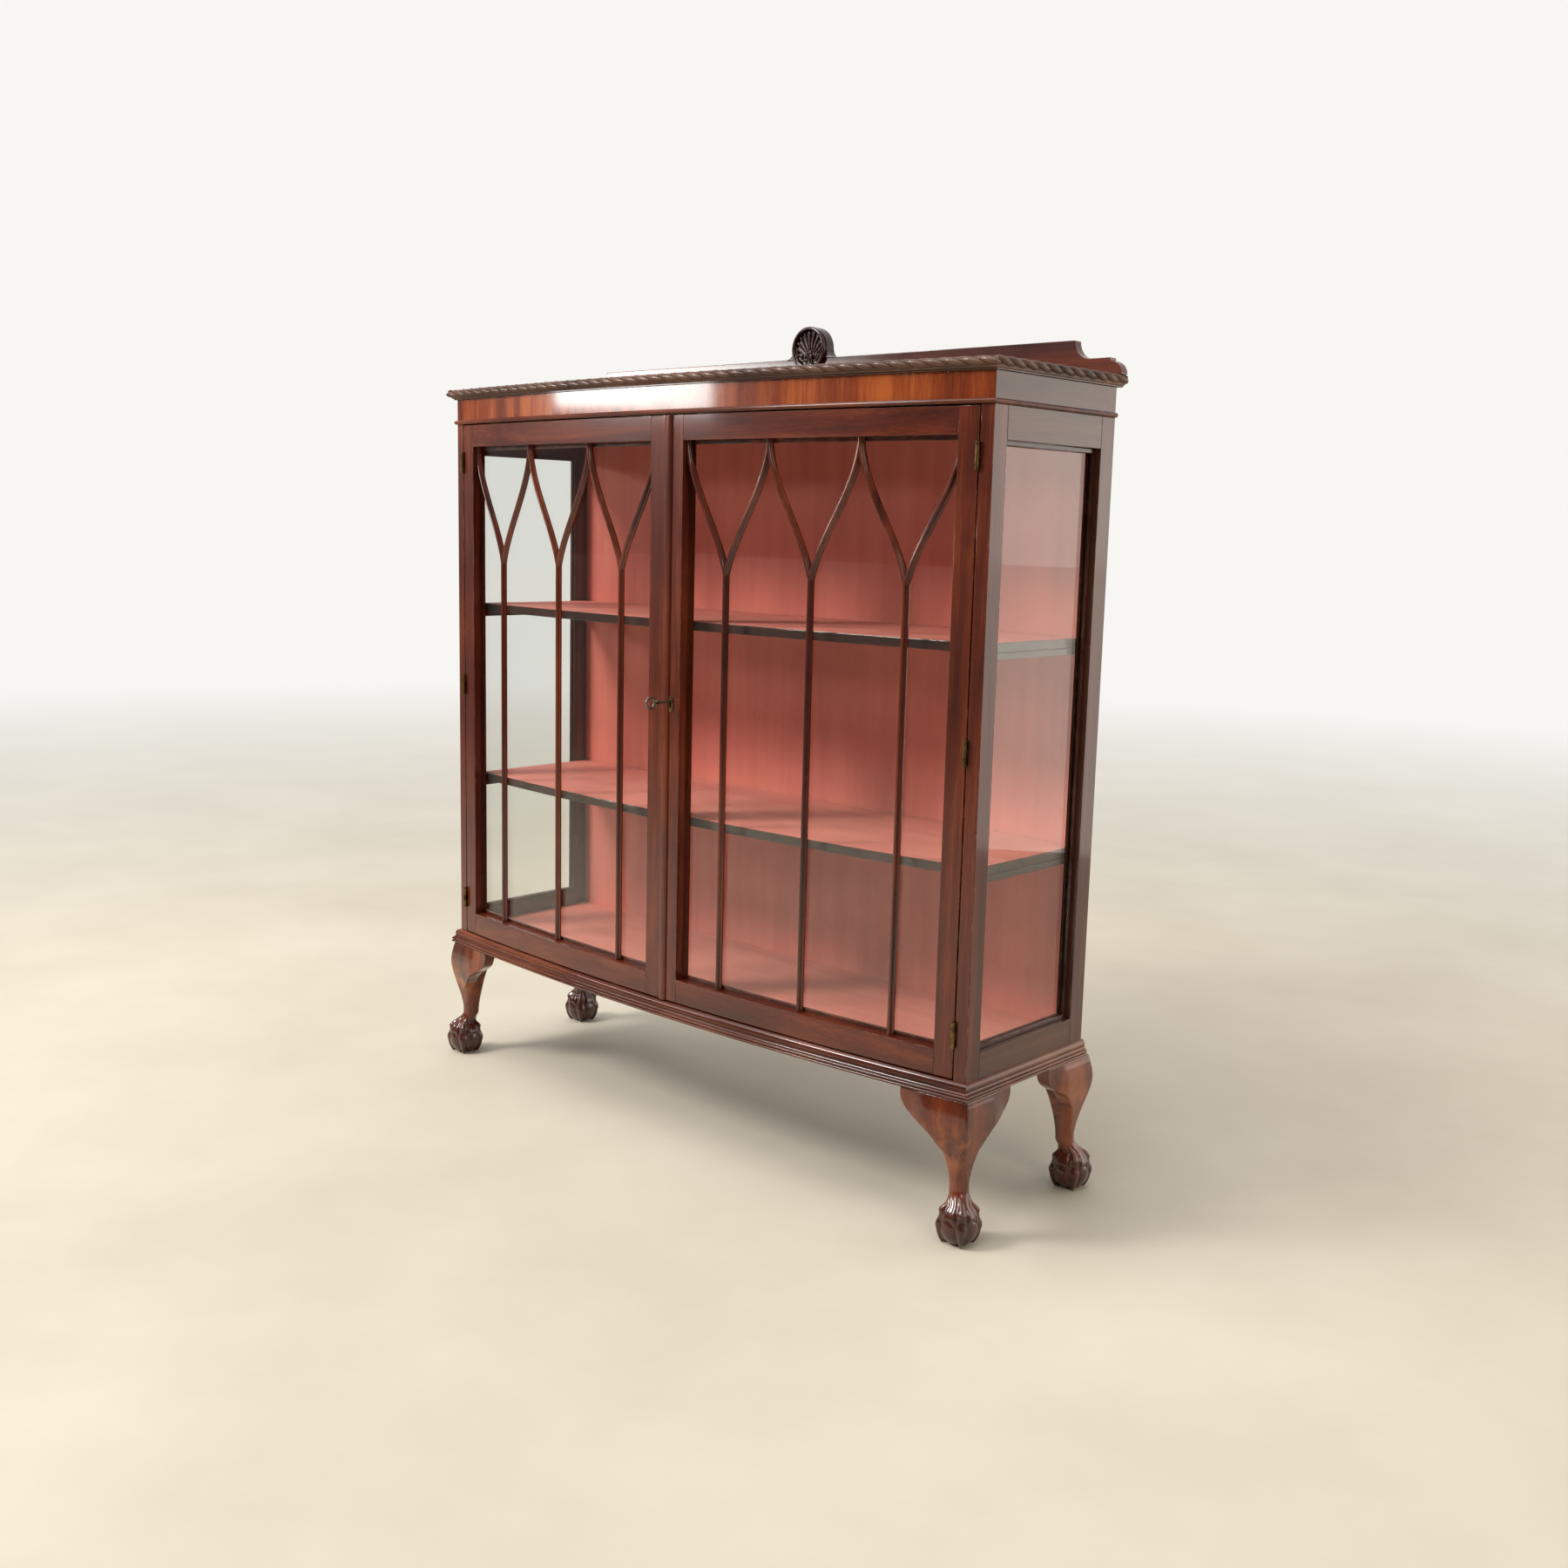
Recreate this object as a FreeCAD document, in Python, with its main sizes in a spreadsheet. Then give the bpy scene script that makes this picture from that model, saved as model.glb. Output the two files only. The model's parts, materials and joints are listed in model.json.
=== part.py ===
import FreeCAD, Part
import Sketcher
import math
import os

# Bow-fronted china cabinet with two glazed, barred doors on four claw-and-ball legs.
# Millimetres, +Z up, the front looks along -Y and +X is the right side.
# Heights are counted from the floor, and the drawing's Y = 0 is the line through the two front
# corners of the case. Every sub-part is then moved by one common Y shift, so that the origin
# lies on the floor under the middle of the whole object's box.

V = FreeCAD.Vector

SIZES = [
    # case
    ("carcass_width", 1178.8, "width over the corner posts"),
    ("carcass_depth", 297.5, "depth from the front corners to the back of the rear posts"),
    ("bow_rise", 36.0, "how far the bowed front stands out at the middle"),
    ("leg_height", 213.0, "floor to the underside of the case"),
    ("base_rail_height", 24.6, "height of the bottom frame below the doors"),
    ("door_opening_height", 932.8, "clear height between bottom frame and frieze"),
    ("frieze_height", 43.2, "height of the frieze frame"),
    ("top_thickness", 17.4, "thickness of the top board"),
    ("frame_thickness", 20.0, "thickness of posts and side rails"),
    ("front_post_depth", 31.0, "width of the front post as seen from the side"),
    ("rear_post_depth", 34.0, "width of the rear post as seen from the side"),
    ("side_bottom_rail", 38.4, "side rail standing above the bottom frame"),
    ("side_top_rail", 46.0, "side rail under the frieze"),
    ("frieze_depth", 25.0, "thickness of the bowed frieze rail"),
    ("base_rail_depth", 40.0, "depth of the bowed bottom rail"),
    ("back_rail_depth", 24.0, "depth of the straight back rails"),
    ("back_thickness", 8.0, "thickness of the back boards"),
    ("back_rebate", 8.0, "width of the rebate that holds the back boards"),
    ("back_inset", 2.0, "back boards lie this far inside the rear face"),
    ("back_joint_left", 240.0, "left board joint, measured from the middle"),
    ("back_joint_right", 278.0, "right board joint, measured from the middle"),
    ("bottom_board_thickness", 12.4, "thickness of the floor of the case"),
    ("ceiling_thickness", 8.0, "thickness of the board over the top compartment"),
    ("door_stop_gap", 0.5, "room between a closed door and the boards that stop it"),
    # side lights
    ("side_glass_setback", 13.0, "side glass behind the outer face"),
    ("glass_thickness", 3.0, "thickness of every pane"),
    ("glass_clearance", 0.5, "room round the edge of a pane"),
    ("side_bead_width", 7.0, "width of the moulded bead round a side pane"),
    ("side_bead_depth", 5.0, "depth of the moulded bead in front of a side pane"),
    # top
    ("board_overhang", 4.0, "top board beyond the case at front and sides"),
    ("rear_overhang", 10.0, "top board beyond the case at the back"),
    ("rope_radius", 6.5, "radius of the carved rope edge"),
    ("rope_overhang", 7.5, "centre of the rope beyond the case"),
    ("lower_fillet_reach", 2.6, "lower fillet under the rope, beyond the top board"),
    ("upper_fillet_reach", 5.5, "upper fillet under the rope, beyond the top board"),
    ("fillet_lap", 0.6, "how far the upper fillet runs into the rope"),
    ("cock_bead_height", 7.0, "height of the bead under the frieze"),
    ("cock_bead_reach", 4.5, "how far that bead stands out"),
    ("gallery_height", 51.5, "upstand above the top board"),
    ("gallery_thickness", 18.0, "thickness of the upstand"),
    ("gallery_reach", 10.6, "foot of the upstand beyond the case, over the rope edge"),
    ("gallery_round", 20.0, "radius of the outer quarter round"),
    ("gallery_drop", 4.5, "small upright between the step and the quarter round"),
    ("gallery_step", 34.0, "length of the flat step"),
    ("crest_radius", 37.0, "radius of the round head of the crest"),
    ("crest_flare", 15.0, "radius of the coves beside the crest"),
    ("crest_thickness", 26.0, "thickness of the carved crest"),
    ("crest_apron", 12.0, "how far the crest hangs in front of the gallery"),
    # base moulding
    ("base_mould_reach", 12.0, "how far the base moulding stands out"),
    ("base_mould_top", 2.4, "flat on top of the base moulding"),
    ("base_round_height", 8.9, "height of its quarter round"),
    ("base_round_reach", 7.4, "reach of its quarter round"),
    ("base_hollow_height", 5.4, "height of the hollow under the quarter round"),
    ("base_reed_root", 10.2, "reach of the quirks beside the two reeds"),
    ("base_reed_height", 4.7, "height of the upper reed"),
    # shelves
    ("shelf_thickness", 14.0, "thickness of a shelf"),
    ("shelf_setback", 38.0, "front edge of a shelf behind the bowed front"),
    ("shelf_end_gap", 1.0, "room at each end of a shelf"),
    ("lower_shelf_top", 538.0, "height of the lower shelf's surface"),
    ("upper_shelf_top", 852.0, "height of the upper shelf's surface"),
    ("cleat_height", 10.0, "height of a shelf cleat"),
    ("cleat_width", 10.0, "width of a shelf cleat"),
    # doors
    ("door_thickness", 22.0, "thickness of a door"),
    ("door_gap", 2.0, "gap round a door"),
    ("meeting_offset", 3.0, "gap between the doors lies this far left of the middle"),
    ("hinge_stile", 31.5, "width of a hinge stile"),
    ("right_meeting_stile", 38.0, "width of the right door's meeting stile"),
    ("left_meeting_stile", 32.0, "width of the left door's meeting stile"),
    ("door_top_rail", 38.0, "height of a door's top rail"),
    ("door_bottom_rail", 38.0, "height of a door's bottom rail"),
    ("door_glass_setback", 15.0, "door glass behind the front"),
    ("door_bead_width", 6.0, "width of the beads that hold a door's glass"),
    ("bar_width", 11.5, "width of a glazing bar"),
    ("bar_setback", 7.0, "glazing bars behind the front"),
    ("fork_drop", 202.0, "height of the forked part of the glazing bars"),
    ("astragal_width", 15.0, "width of the bead on the meeting stile"),
    ("astragal_reach", 4.0, "how far that bead stands out"),
    # hinges
    ("hinge_height", 37.0, "height of a butt hinge"),
    ("hinge_inset", 65.0, "first hinge centre from the end of the door"),
    ("leaf_thickness", 2.0, "thickness of a hinge leaf"),
    ("leaf_depth", 18.0, "depth of a hinge leaf behind the front"),
    ("knuckle_radius", 3.2, "outer radius of a knuckle"),
    ("knuckle_proud", 3.6, "hinge axis in front of the door"),
    ("pin_radius", 1.6, "radius of a hinge pin"),
    ("running_fit", 0.05, "radial clearance of what turns or slides on metal"),
    ("knuckle_gap", 0.3, "gap between knuckles"),
    # lock and bolts
    ("lock_height", 727.0, "height of the keyhole"),
    ("lock_inset", 18.0, "keyhole from the edge of the right door"),
    ("lock_case_width", 32.0, "width of the lock case"),
    ("lock_case_height", 44.0, "height of the lock case"),
    ("lock_case_setback", 12.0, "lock case behind the front"),
    ("lock_case_inset", 0.2, "lock case inside the back of the door"),
    ("lock_wall", 1.5, "wall of the lock case"),
    ("bolt_height", 8.0, "height of the lock's bolt"),
    ("bolt_rise", 14.0, "middle of the bolt above the keyhole"),
    ("bolt_throw", 5.0, "travel of the lock's bolt"),
    ("moving_clearance", 0.4, "room round moving pieces in the wood"),
    ("cut_through", 2.0, "how far a cut runs on past the face that it opens"),
    ("key_radius", 2.2, "radius of the key's shank"),
    ("key_reach", 54.0, "how far the key stands out"),
    ("key_ring", 8.5, "middle radius of the key's bow"),
    ("key_ring_wire", 2.0, "half thickness of the key's bow"),
    ("key_bit", 9.0, "reach of the key's bit from its axis"),
    ("key_bit_thickness", 2.4, "thickness of the key's bit"),
    ("escutcheon_width", 13.0, "width of the keyhole plate"),
    ("escutcheon_height", 26.0, "height of the keyhole plate"),
    ("escutcheon_thickness", 1.2, "thickness of the keyhole plate"),
    ("flush_bolt_radius", 3.0, "radius of a flush bolt's rod"),
    ("flush_bolt_length", 60.0, "length of a flush bolt's rod"),
    ("flush_bolt_inset", 10.0, "flush bolt from the left door's edge"),
    ("flush_bolt_throw", 8.0, "travel of a flush bolt"),
    ("flush_knob_reach", 3.0, "knob behind the back of the door"),
    # legs
    ("ball_radius", 29.0, "radius of the ball in the foot"),
    ("foot_inset", 4.0, "centre of the foot inside the corner of the case"),
    ("claw_radius", 6.0, "half thickness of a claw"),
    ("knee_block", 48.0, "leg block inside the corner of the case"),
    ("knee_reach", 10.0, "leg block beyond the corner of the case"),
    ("knee_swell", 19.0, "knee beyond the corner of the case"),
    ("knee_arris", 2.5, "radius of the knee's edges"),
    ("ankle_inset", 14.0, "centre of the ankle inside the corner of the case"),
    ("ankle_radius", 14.0, "half width of the ankle"),
    ("ankle_height", 72.0, "height of the ankle"),
    ("ear_reach", 100.0, "end of a knee bracket from the corner of the case"),
    ("ear_drop", 46.0, "height of a knee bracket"),
    ("ear_lip", 8.0, "upright end of a knee bracket"),
    ("ear_root", 66.0, "lowest point of a knee bracket where it joins the leg"),
    ("ear_thickness", 22.0, "thickness of a knee bracket"),
]

doc = FreeCAD.newDocument("china_cabinet")
sheet = doc.addObject("Spreadsheet::Sheet", "Sizes")
for row, (alias, number, note) in enumerate(SIZES, start=1):
    sheet.set(f"A{row}", note)
    sheet.set(f"B{row}", str(number))
    sheet.setAlias(f"B{row}", alias)
doc.recompute()


def cell(alias):
    return f"Sizes.{alias}"


def mm(expression):
    """The number that a sheet expression gives now."""
    return float(sheet.evalExpression(str(expression)))


# Places worked out from the sheet, as expressions.
HALF = f"({cell('carcass_width')} / 2)"
DEPTH = cell("carcass_depth")
INNER = f"({HALF} - {cell('frame_thickness')})"
BASE = cell("leg_height")
BASE_TOP = f"({BASE} + {cell('base_rail_height')})"
OPENING_TOP = f"({BASE_TOP} + {cell('door_opening_height')})"
CASE_TOP = f"({OPENING_TOP} + {cell('frieze_height')})"
BOARD_TOP = f"({CASE_TOP} + {cell('top_thickness')})"
GALLERY_TOP = f"({BOARD_TOP} + {cell('gallery_height')})"
BOW_RADIUS = f"(({HALF}^2 + {cell('bow_rise')}^2) / (2 * {cell('bow_rise')}))"
BOW_CENTRE = f"({BOW_RADIUS} - {cell('bow_rise')})"
BACK_FRONT = f"({DEPTH} - {cell('back_inset')} - {cell('back_thickness')})"
DOOR_EDGE = f"({INNER} - {cell('door_gap')})"
DOOR_BOTTOM = f"({BASE_TOP} + {cell('door_gap')})"
DOOR_TOP = f"({OPENING_TOP} - {cell('door_gap')})"
SIDE_LIGHT_BOTTOM = f"({BASE_TOP} + {cell('side_bottom_rail')})"
SIDE_LIGHT_TOP = f"({OPENING_TOP} - {cell('side_top_rail')})"
STOP_SETBACK = f"({cell('door_thickness')} + {cell('door_stop_gap')})"
HINGE_X = f"({INNER} - {cell('door_gap')} / 2)"
RIGHT_EDGE = f"(0 - {cell('meeting_offset')} + {cell('door_gap')} / 2)"
LEFT_EDGE = f"(0 - {cell('meeting_offset')} - {cell('door_gap')} / 2)"
LOCK_X = f"({RIGHT_EDGE} + {cell('lock_inset')})"
LOCK_Z = cell("lock_height")


def bow_y(x, setback):
    """Y of the bowed surface that lies setback behind the front, at this x."""
    return f"({BOW_CENTRE} - sqrt(({BOW_RADIUS} - ({setback}))^2 - ({x})^2))"


HINGE_Y = f"({bow_y(HINGE_X, 0)} - {cell('knuckle_proud')})"
KEY_FACE = bow_y(LOCK_X, 0)
FRONT_END = f"({KEY_FACE} - {cell('key_reach')})"
REAR_END = f"({DEPTH} - {cell('foot_inset')} + {cell('ball_radius')})"
SHIFT = f"(0 - ({FRONT_END} + {REAR_END}) / 2)"

SUBPARTS = []


def finish(thing, node, extra_y="0"):
    """Name a sub-part and give it the common shift along Y."""
    thing.Label = node
    thing.setExpression("Placement.Base.y", f"{extra_y} + {SHIFT}")
    SUBPARTS.append(thing)
    return thing


def fixed(shape, node):
    """A sub-part whose shape Part's own functions make from the sheet's sizes."""
    thing = doc.addObject("Part::Feature", node)
    thing.Shape = shape
    return finish(thing, node)


# ---------------------------------------------------------------- sketches, pads and pockets

PLANES = {"plan": "XY_Plane", "front": "XZ_Plane", "side": "YZ_Plane"}


def arc_geometry(start, end, radius, turn):
    """Circle arc from start to end: turn is +1 when it runs anticlockwise."""
    chord = end - start
    half = chord.Length / 2
    rise = math.sqrt(max(radius * radius - half * half, 0.0))
    normal = V(-chord.y, chord.x, 0).normalize()
    centre = (start + end) * 0.5 + normal * (rise * turn)
    first = start if turn > 0 else end
    last = end if turn > 0 else start
    angle_a = math.atan2(first.y - centre.y, first.x - centre.x)
    angle_b = math.atan2(last.y - centre.y, last.x - centre.x)
    if angle_b < angle_a:
        angle_b += 2 * math.pi
    return Part.ArcOfCircle(Part.Circle(centre, V(0, 0, 1), radius), angle_a, angle_b)


def outline(body, name, plane, steps, place):
    """A closed sketch. Each step is (u, v) or (u, v, radius, turn) for the edge that leaves it."""
    sketch = body.newObject("Sketcher::SketchObject", name)
    origin = [f for f in body.Origin.OriginFeatures if f.Role == PLANES[plane]][0]
    sketch.AttachmentSupport = [(origin, "")]
    sketch.MapMode = "FlatFace"
    toward = f"0 - ({place})" if plane == "front" else str(place)
    sketch.setExpression("AttachmentOffset.Base.z", toward)
    corners = [V(mm(step[0]), mm(step[1]), 0) for step in steps]
    ends = []
    for i, step in enumerate(steps):
        start = corners[i]
        end = corners[(i + 1) % len(steps)]
        if len(step) == 2:
            edge = sketch.addGeometry(Part.LineSegment(start, end), False)
            ends.append((edge, 1, 2))
            continue
        arc = arc_geometry(start, end, mm(step[2]), step[3])
        edge = sketch.addGeometry(arc, False)
        ends.append((edge, 1, 2) if step[3] > 0 else (edge, 2, 1))
        radius = sketch.addConstraint(Sketcher.Constraint("Radius", edge, mm(step[2])))
        sketch.setExpression(f"Constraints[{radius}]", str(step[2]))
    for i, step in enumerate(steps):
        edge, first, last = ends[i]
        follower = ends[(i + 1) % len(steps)]
        sketch.addConstraint(Sketcher.Constraint("Coincident", edge, last, follower[0], follower[1]))
        place_ties = (("DistanceX", step[0], corners[i].x), ("DistanceY", step[1], corners[i].y))
        for kind, size, number in place_ties:
            tie = sketch.addConstraint(Sketcher.Constraint(kind, -1, 1, edge, first, number))
            sketch.setExpression(f"Constraints[{tie}]", str(size))
    return sketch


def padded(node, plane, steps, start, length):
    """A body padded from start by length: up, to the front or to the right."""
    body = doc.addObject("PartDesign::Body", node)
    sketch = outline(body, f"{node}_outline", plane, steps, start)
    pad = body.newObject("PartDesign::Pad", f"{node}_pad")
    pad.Profile = sketch
    pad.setExpression("Length", str(length))
    body.Tip = pad
    return body


def pocket(body, name, plane, steps, start, length):
    """Cut the outline out of the body, from start by length in the pad's sense."""
    sketch = outline(body, f"{name}_outline", plane, steps, start)
    cut = body.newObject("PartDesign::Pocket", name)
    cut.Profile = sketch
    cut.Reversed = True
    cut.setExpression("Length", str(length))
    body.Tip = cut
    return body


def rectangle(u0, u1, v0, v1):
    return [(u0, v0), (u1, v0), (u1, v1), (u0, v1)]


def block(node, x0, x1, y0, y1, z0, z1):
    """A straight board or rail."""
    return padded(node, "plan", rectangle(x0, x1, y0, y1), z0, f"({z1}) - ({z0})")


def bowed_outline(x0, x1, front, back):
    """Plan of a strip between two bowed surfaces; a negative setback is proud of the front."""
    return [
        (x0, bow_y(x0, front), f"{BOW_RADIUS} - ({front})", 1),
        (x1, bow_y(x1, front)),
        (x1, bow_y(x1, back), f"{BOW_RADIUS} - ({back})", -1),
        (x0, bow_y(x0, back)),
    ]


def bow_fronted_outline(x0, x1, front, y1):
    """Plan of a board with a bowed front edge and a straight back."""
    return [
        (x0, bow_y(x0, front), f"{BOW_RADIUS} - ({front})", 1),
        (x1, bow_y(x1, front)),
        (x1, y1),
        (x0, y1),
    ]


def bowed(node, x0, x1, front, back, z0, z1):
    return padded(node, "plan", bowed_outline(x0, x1, front, back), z0, f"({z1}) - ({z0})")


def group(node, bodies):
    """Several solids that share one node."""
    thing = doc.addObject("Part::Compound", node)
    thing.Links = bodies
    return finish(thing, node)


def sided(side, expression):
    """The same distance from the middle, on the right (1) or the left (-1)."""
    return f"({side} * ({expression}))"


SIDES = (("right", 1), ("left", -1))

# ---------------------------------------------------------------- case frame

HINGE_HEIGHTS = (
    f"({DOOR_BOTTOM} + {cell('hinge_inset')})",
    f"(({DOOR_BOTTOM} + {DOOR_TOP}) / 2)",
    f"({DOOR_TOP} - {cell('hinge_inset')})",
)


def leaf_bed(body, side, x0, x1):
    """Beds for the three hinge leaves, cut from the edge between x0 and x1."""
    front = f"({bow_y(x1, 0)} - 1)"
    back = f"({bow_y(HINGE_X, 0)} + {cell('leaf_depth')})"
    for i, middle in enumerate(HINGE_HEIGHTS):
        low = f"({middle} - {cell('hinge_height')} / 2)"
        steps = rectangle(sided(side, x0), sided(side, x1), front, back)
        pocket(body, f"{body.Name}_bed_{i}", "plan", steps, low, cell("hinge_height"))


def front_post(name, side):
    node = f"post_front_{name}"
    x0 = sided(side, INNER)
    x1 = sided(side, HALF)
    steps = bow_fronted_outline(x0, x1, "0", cell("front_post_depth"))
    if side < 0:
        steps = bow_fronted_outline(x1, x0, "0", cell("front_post_depth"))
    body = padded(node, "plan", steps, BASE, f"{OPENING_TOP} - {BASE}")
    leaf_bed(body, side, INNER, f"({INNER} + {cell('leaf_thickness')})")
    finish(body, node)


def rear_post(name, side):
    node = f"post_back_{name}"
    y0 = f"({DEPTH} - {cell('rear_post_depth')})"
    steps = [
        (sided(side, INNER), y0),
        (sided(side, HALF), y0),
        (sided(side, HALF), DEPTH),
        (sided(side, f"{INNER} + {cell('back_rebate')}"), DEPTH),
        (sided(side, f"{INNER} + {cell('back_rebate')}"), BACK_FRONT),
        (sided(side, INNER), BACK_FRONT),
    ]
    finish(padded(node, "plan", steps, BASE, f"{OPENING_TOP} - {BASE}"), node)


def side_rail(node, side, z0, z1):
    y0 = cell("front_post_depth")
    y1 = f"({DEPTH} - {cell('rear_post_depth')})"
    finish(block(node, sided(side, INNER), sided(side, HALF), y0, y1, z0, z1), node)


for side_name, side_sign in SIDES:
    front_post(side_name, side_sign)
    rear_post(side_name, side_sign)
    side_rail(f"side_rail_bottom_{side_name}", side_sign, BASE, SIDE_LIGHT_BOTTOM)
    side_rail(f"side_rail_top_{side_name}", side_sign, SIDE_LIGHT_TOP, OPENING_TOP)

BOLT_X = f"({LEFT_EDGE} - {cell('flush_bolt_inset')})"
BOLT_Y = f"({bow_y(BOLT_X, 0)} + {cell('door_thickness')} / 2)"
BOLT_HOLE = f"({cell('flush_bolt_radius')} + {cell('moving_clearance')})"


def round_outline(x, y, radius):
    return [
        (f"({x} + {radius})", y, radius, 1),
        (x, f"({y} + {radius})", radius, 1),
        (f"({x} - {radius})", y, radius, 1),
        (x, f"({y} - {radius})", radius, 1),
    ]


def bolt_socket(body, z0, z1):
    """The hole that a flush bolt of the left door goes into."""
    hole = round_outline(BOLT_X, BOLT_Y, BOLT_HOLE)
    pocket(body, f"{body.Name}_socket", "plan", hole, z0, f"({z1}) - ({z0})")


SOCKET_DEPTH = f"({cell('flush_bolt_throw')} + {cell('door_gap')})"

base_front = bowed("base_rail_front", sided(-1, INNER), INNER, "0", cell("base_rail_depth"), BASE, BASE_TOP)
bolt_socket(base_front, f"({BASE_TOP} - {SOCKET_DEPTH})", BASE_TOP)
finish(base_front, "base_rail_front")

back_rail_y = f"({BACK_FRONT} - {cell('back_rail_depth')})"
base_back = block("base_rail_back", sided(-1, INNER), INNER, back_rail_y, BACK_FRONT, BASE, BASE_TOP)
finish(base_back, "base_rail_back")

bottom_plan = bow_fronted_outline(sided(-1, INNER), INNER, STOP_SETBACK, BACK_FRONT)
finish(padded("bottom_board", "plan", bottom_plan, BASE_TOP, cell("bottom_board_thickness")), "bottom_board")

ceiling_z = f"({OPENING_TOP} - {cell('ceiling_thickness')})"
ceiling_plan = bow_fronted_outline(sided(-1, INNER), INNER, STOP_SETBACK, BACK_FRONT)
finish(padded("ceiling_board", "plan", ceiling_plan, ceiling_z, cell("ceiling_thickness")), "ceiling_board")

back_edges = (
    sided(-1, f"{INNER} + {cell('back_rebate')}"),
    sided(-1, cell("back_joint_left")),
    cell("back_joint_right"),
    f"({INNER} + {cell('back_rebate')})",
)
back_end = f"({BACK_FRONT} + {cell('back_thickness')})"
back_panels = []
for i in range(len(back_edges) - 1):
    name = f"back_board_{i}"
    panel = block(name, back_edges[i], back_edges[i + 1], BACK_FRONT, back_end, BASE, OPENING_TOP)
    back_panels.append(panel)
group("back_boards", back_panels)

# ---------------------------------------------------------------- frieze, top and mouldings

HALF_MM = mm(HALF)
DEPTH_MM = mm(DEPTH)
BOW_R = mm(BOW_RADIUS)
BOW_C = mm(BOW_CENTRE)
MITRE_REACH = 60.0
BOW_ANGLE = math.asin(HALF_MM / BOW_R)
MITRE_SLOPE = (1 - math.sin(BOW_ANGLE)) / math.cos(BOW_ANGLE)
BEHIND = DEPTH_MM + 4 * MITRE_REACH


def polygon_face(points):
    return Part.Face(Part.makePolygon(points + points[:1]))


def region(points):
    """Everything above this plan outline, from the floor to well over the top."""
    face = polygon_face([V(x, y, 0) for x, y in points])
    return face.extrude(V(0, 0, 2 * mm(GALLERY_TOP)))


def front_region():
    out = HALF_MM + MITRE_REACH
    deep = HALF_MM - MITRE_REACH
    drop = MITRE_REACH * MITRE_SLOPE
    return region([(-out, -drop), (-out, -BEHIND), (out, -BEHIND), (out, -drop), (deep, drop), (-deep, drop)])


def side_region(back):
    out = HALF_MM + MITRE_REACH
    deep = HALF_MM - MITRE_REACH
    drop = MITRE_REACH * MITRE_SLOPE
    return region([(out, -drop), (deep, drop), (deep, back), (out, back)])


def mitred(profile, back):
    """Front, right and left runs of one profile, mitred at the front corners.

    The profile is a list of faces drawn with X as the reach from the case and Z as the height.
    """
    swing = math.degrees(BOW_ANGLE)
    onward = V(MITRE_REACH * math.cos(BOW_ANGLE), MITRE_REACH * math.sin(BOW_ANGLE), 0)
    fronts = []
    rights = []
    for face in profile:
        turned = face.copy()
        turned.rotate(V(0, 0, 0), V(0, 0, 1), -90)
        turned.translate(V(0, -mm(cell("bow_rise")), 0))
        turned.rotate(V(0, BOW_C, 0), V(0, 0, 1), -swing)
        fronts.append(turned.revolve(V(0, BOW_C, 0), V(0, 0, 1), 2 * swing))
        fronts.append(turned.extrude(V(-onward.x, onward.y, 0)))
        turned.rotate(V(0, BOW_C, 0), V(0, 0, 1), 2 * swing)
        fronts.append(turned.extrude(onward))
        start = face.copy()
        start.translate(V(HALF_MM, -MITRE_REACH, 0))
        rights.append(start.extrude(V(0, back + MITRE_REACH, 0)))
    front = fronts[0].fuse(fronts[1:]) if len(fronts) > 1 else fronts[0]
    right = rights[0].fuse(rights[1:]) if len(rights) > 1 else rights[0]
    front = front.common(front_region()).removeSplitter()
    right = right.common(side_region(back)).removeSplitter()
    left = right.mirror(V(0, 0, 0), V(1, 0, 0))
    return front, right, left


def flat_profile(points):
    return polygon_face([V(reach, 0, height) for reach, height in points])


def disc_profile(reach, height, radius):
    circle = Part.Circle(V(reach, 0, height), V(0, -1, 0), radius)
    return Part.Face(Part.Wire(circle.toShape()))


def frieze():
    deep = mm(cell("frieze_depth"))
    low = mm(OPENING_TOP)
    high = mm(CASE_TOP)
    profile = [flat_profile([(-deep, low), (0, low), (0, high), (-deep, high)])]
    front, right, left = mitred(profile, DEPTH_MM)
    hole = Part.makeCylinder(mm(BOLT_HOLE), mm(SOCKET_DEPTH), V(mm(BOLT_X), mm(BOLT_Y), low))
    fixed(front.cut(hole), "frieze_front")
    fixed(right, "frieze_right")
    fixed(left, "frieze_left")


def cock_bead():
    """A half-round bead let in level with the foot of the frieze."""
    low = mm(OPENING_TOP)
    radius = mm(cell("cock_bead_height")) / 2
    high = low + 2 * radius
    reach = mm(cell("cock_bead_reach"))
    hub = reach - radius
    square = flat_profile([(0, low), (hub, low), (hub, high), (0, high)])
    disc = disc_profile(hub, low + radius, radius)
    keep = flat_profile([(0, low), (reach, low), (reach, high), (0, high)])
    profile = square.fuse(disc).removeSplitter().common(keep).Faces
    fixed(Part.makeCompound(list(mitred(profile, DEPTH_MM))), "cock_bead")


def rope_moulding():
    """The rope edge in its plain outer shape, over two fillets."""
    low = mm(CASE_TOP)
    high = mm(BOARD_TOP)
    radius = mm(cell("rope_radius"))
    start = mm(cell("board_overhang"))
    centre = mm(cell("rope_overhang"))
    step = (high - low - 2 * radius) / 2
    fillet_a = start + mm(cell("lower_fillet_reach"))
    fillet_b = start + mm(cell("upper_fillet_reach"))
    fillet_top = low + 2 * step + mm(cell("fillet_lap"))
    lower = flat_profile([
        (start, low), (fillet_a, low), (fillet_a, low + step), (fillet_b, low + step),
        (fillet_b, fillet_top), (start, fillet_top),
    ])
    disc = disc_profile(centre, high - radius, radius)
    keep = flat_profile([(start, low), (start + 4 * radius, low), (start + 4 * radius, high), (start, high)])
    profile = lower.fuse(disc.common(keep)).removeSplitter().Faces
    back = DEPTH_MM + mm(cell("rear_overhang"))
    fixed(Part.makeCompound(list(mitred(profile, back))), "rope_moulding")


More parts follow.
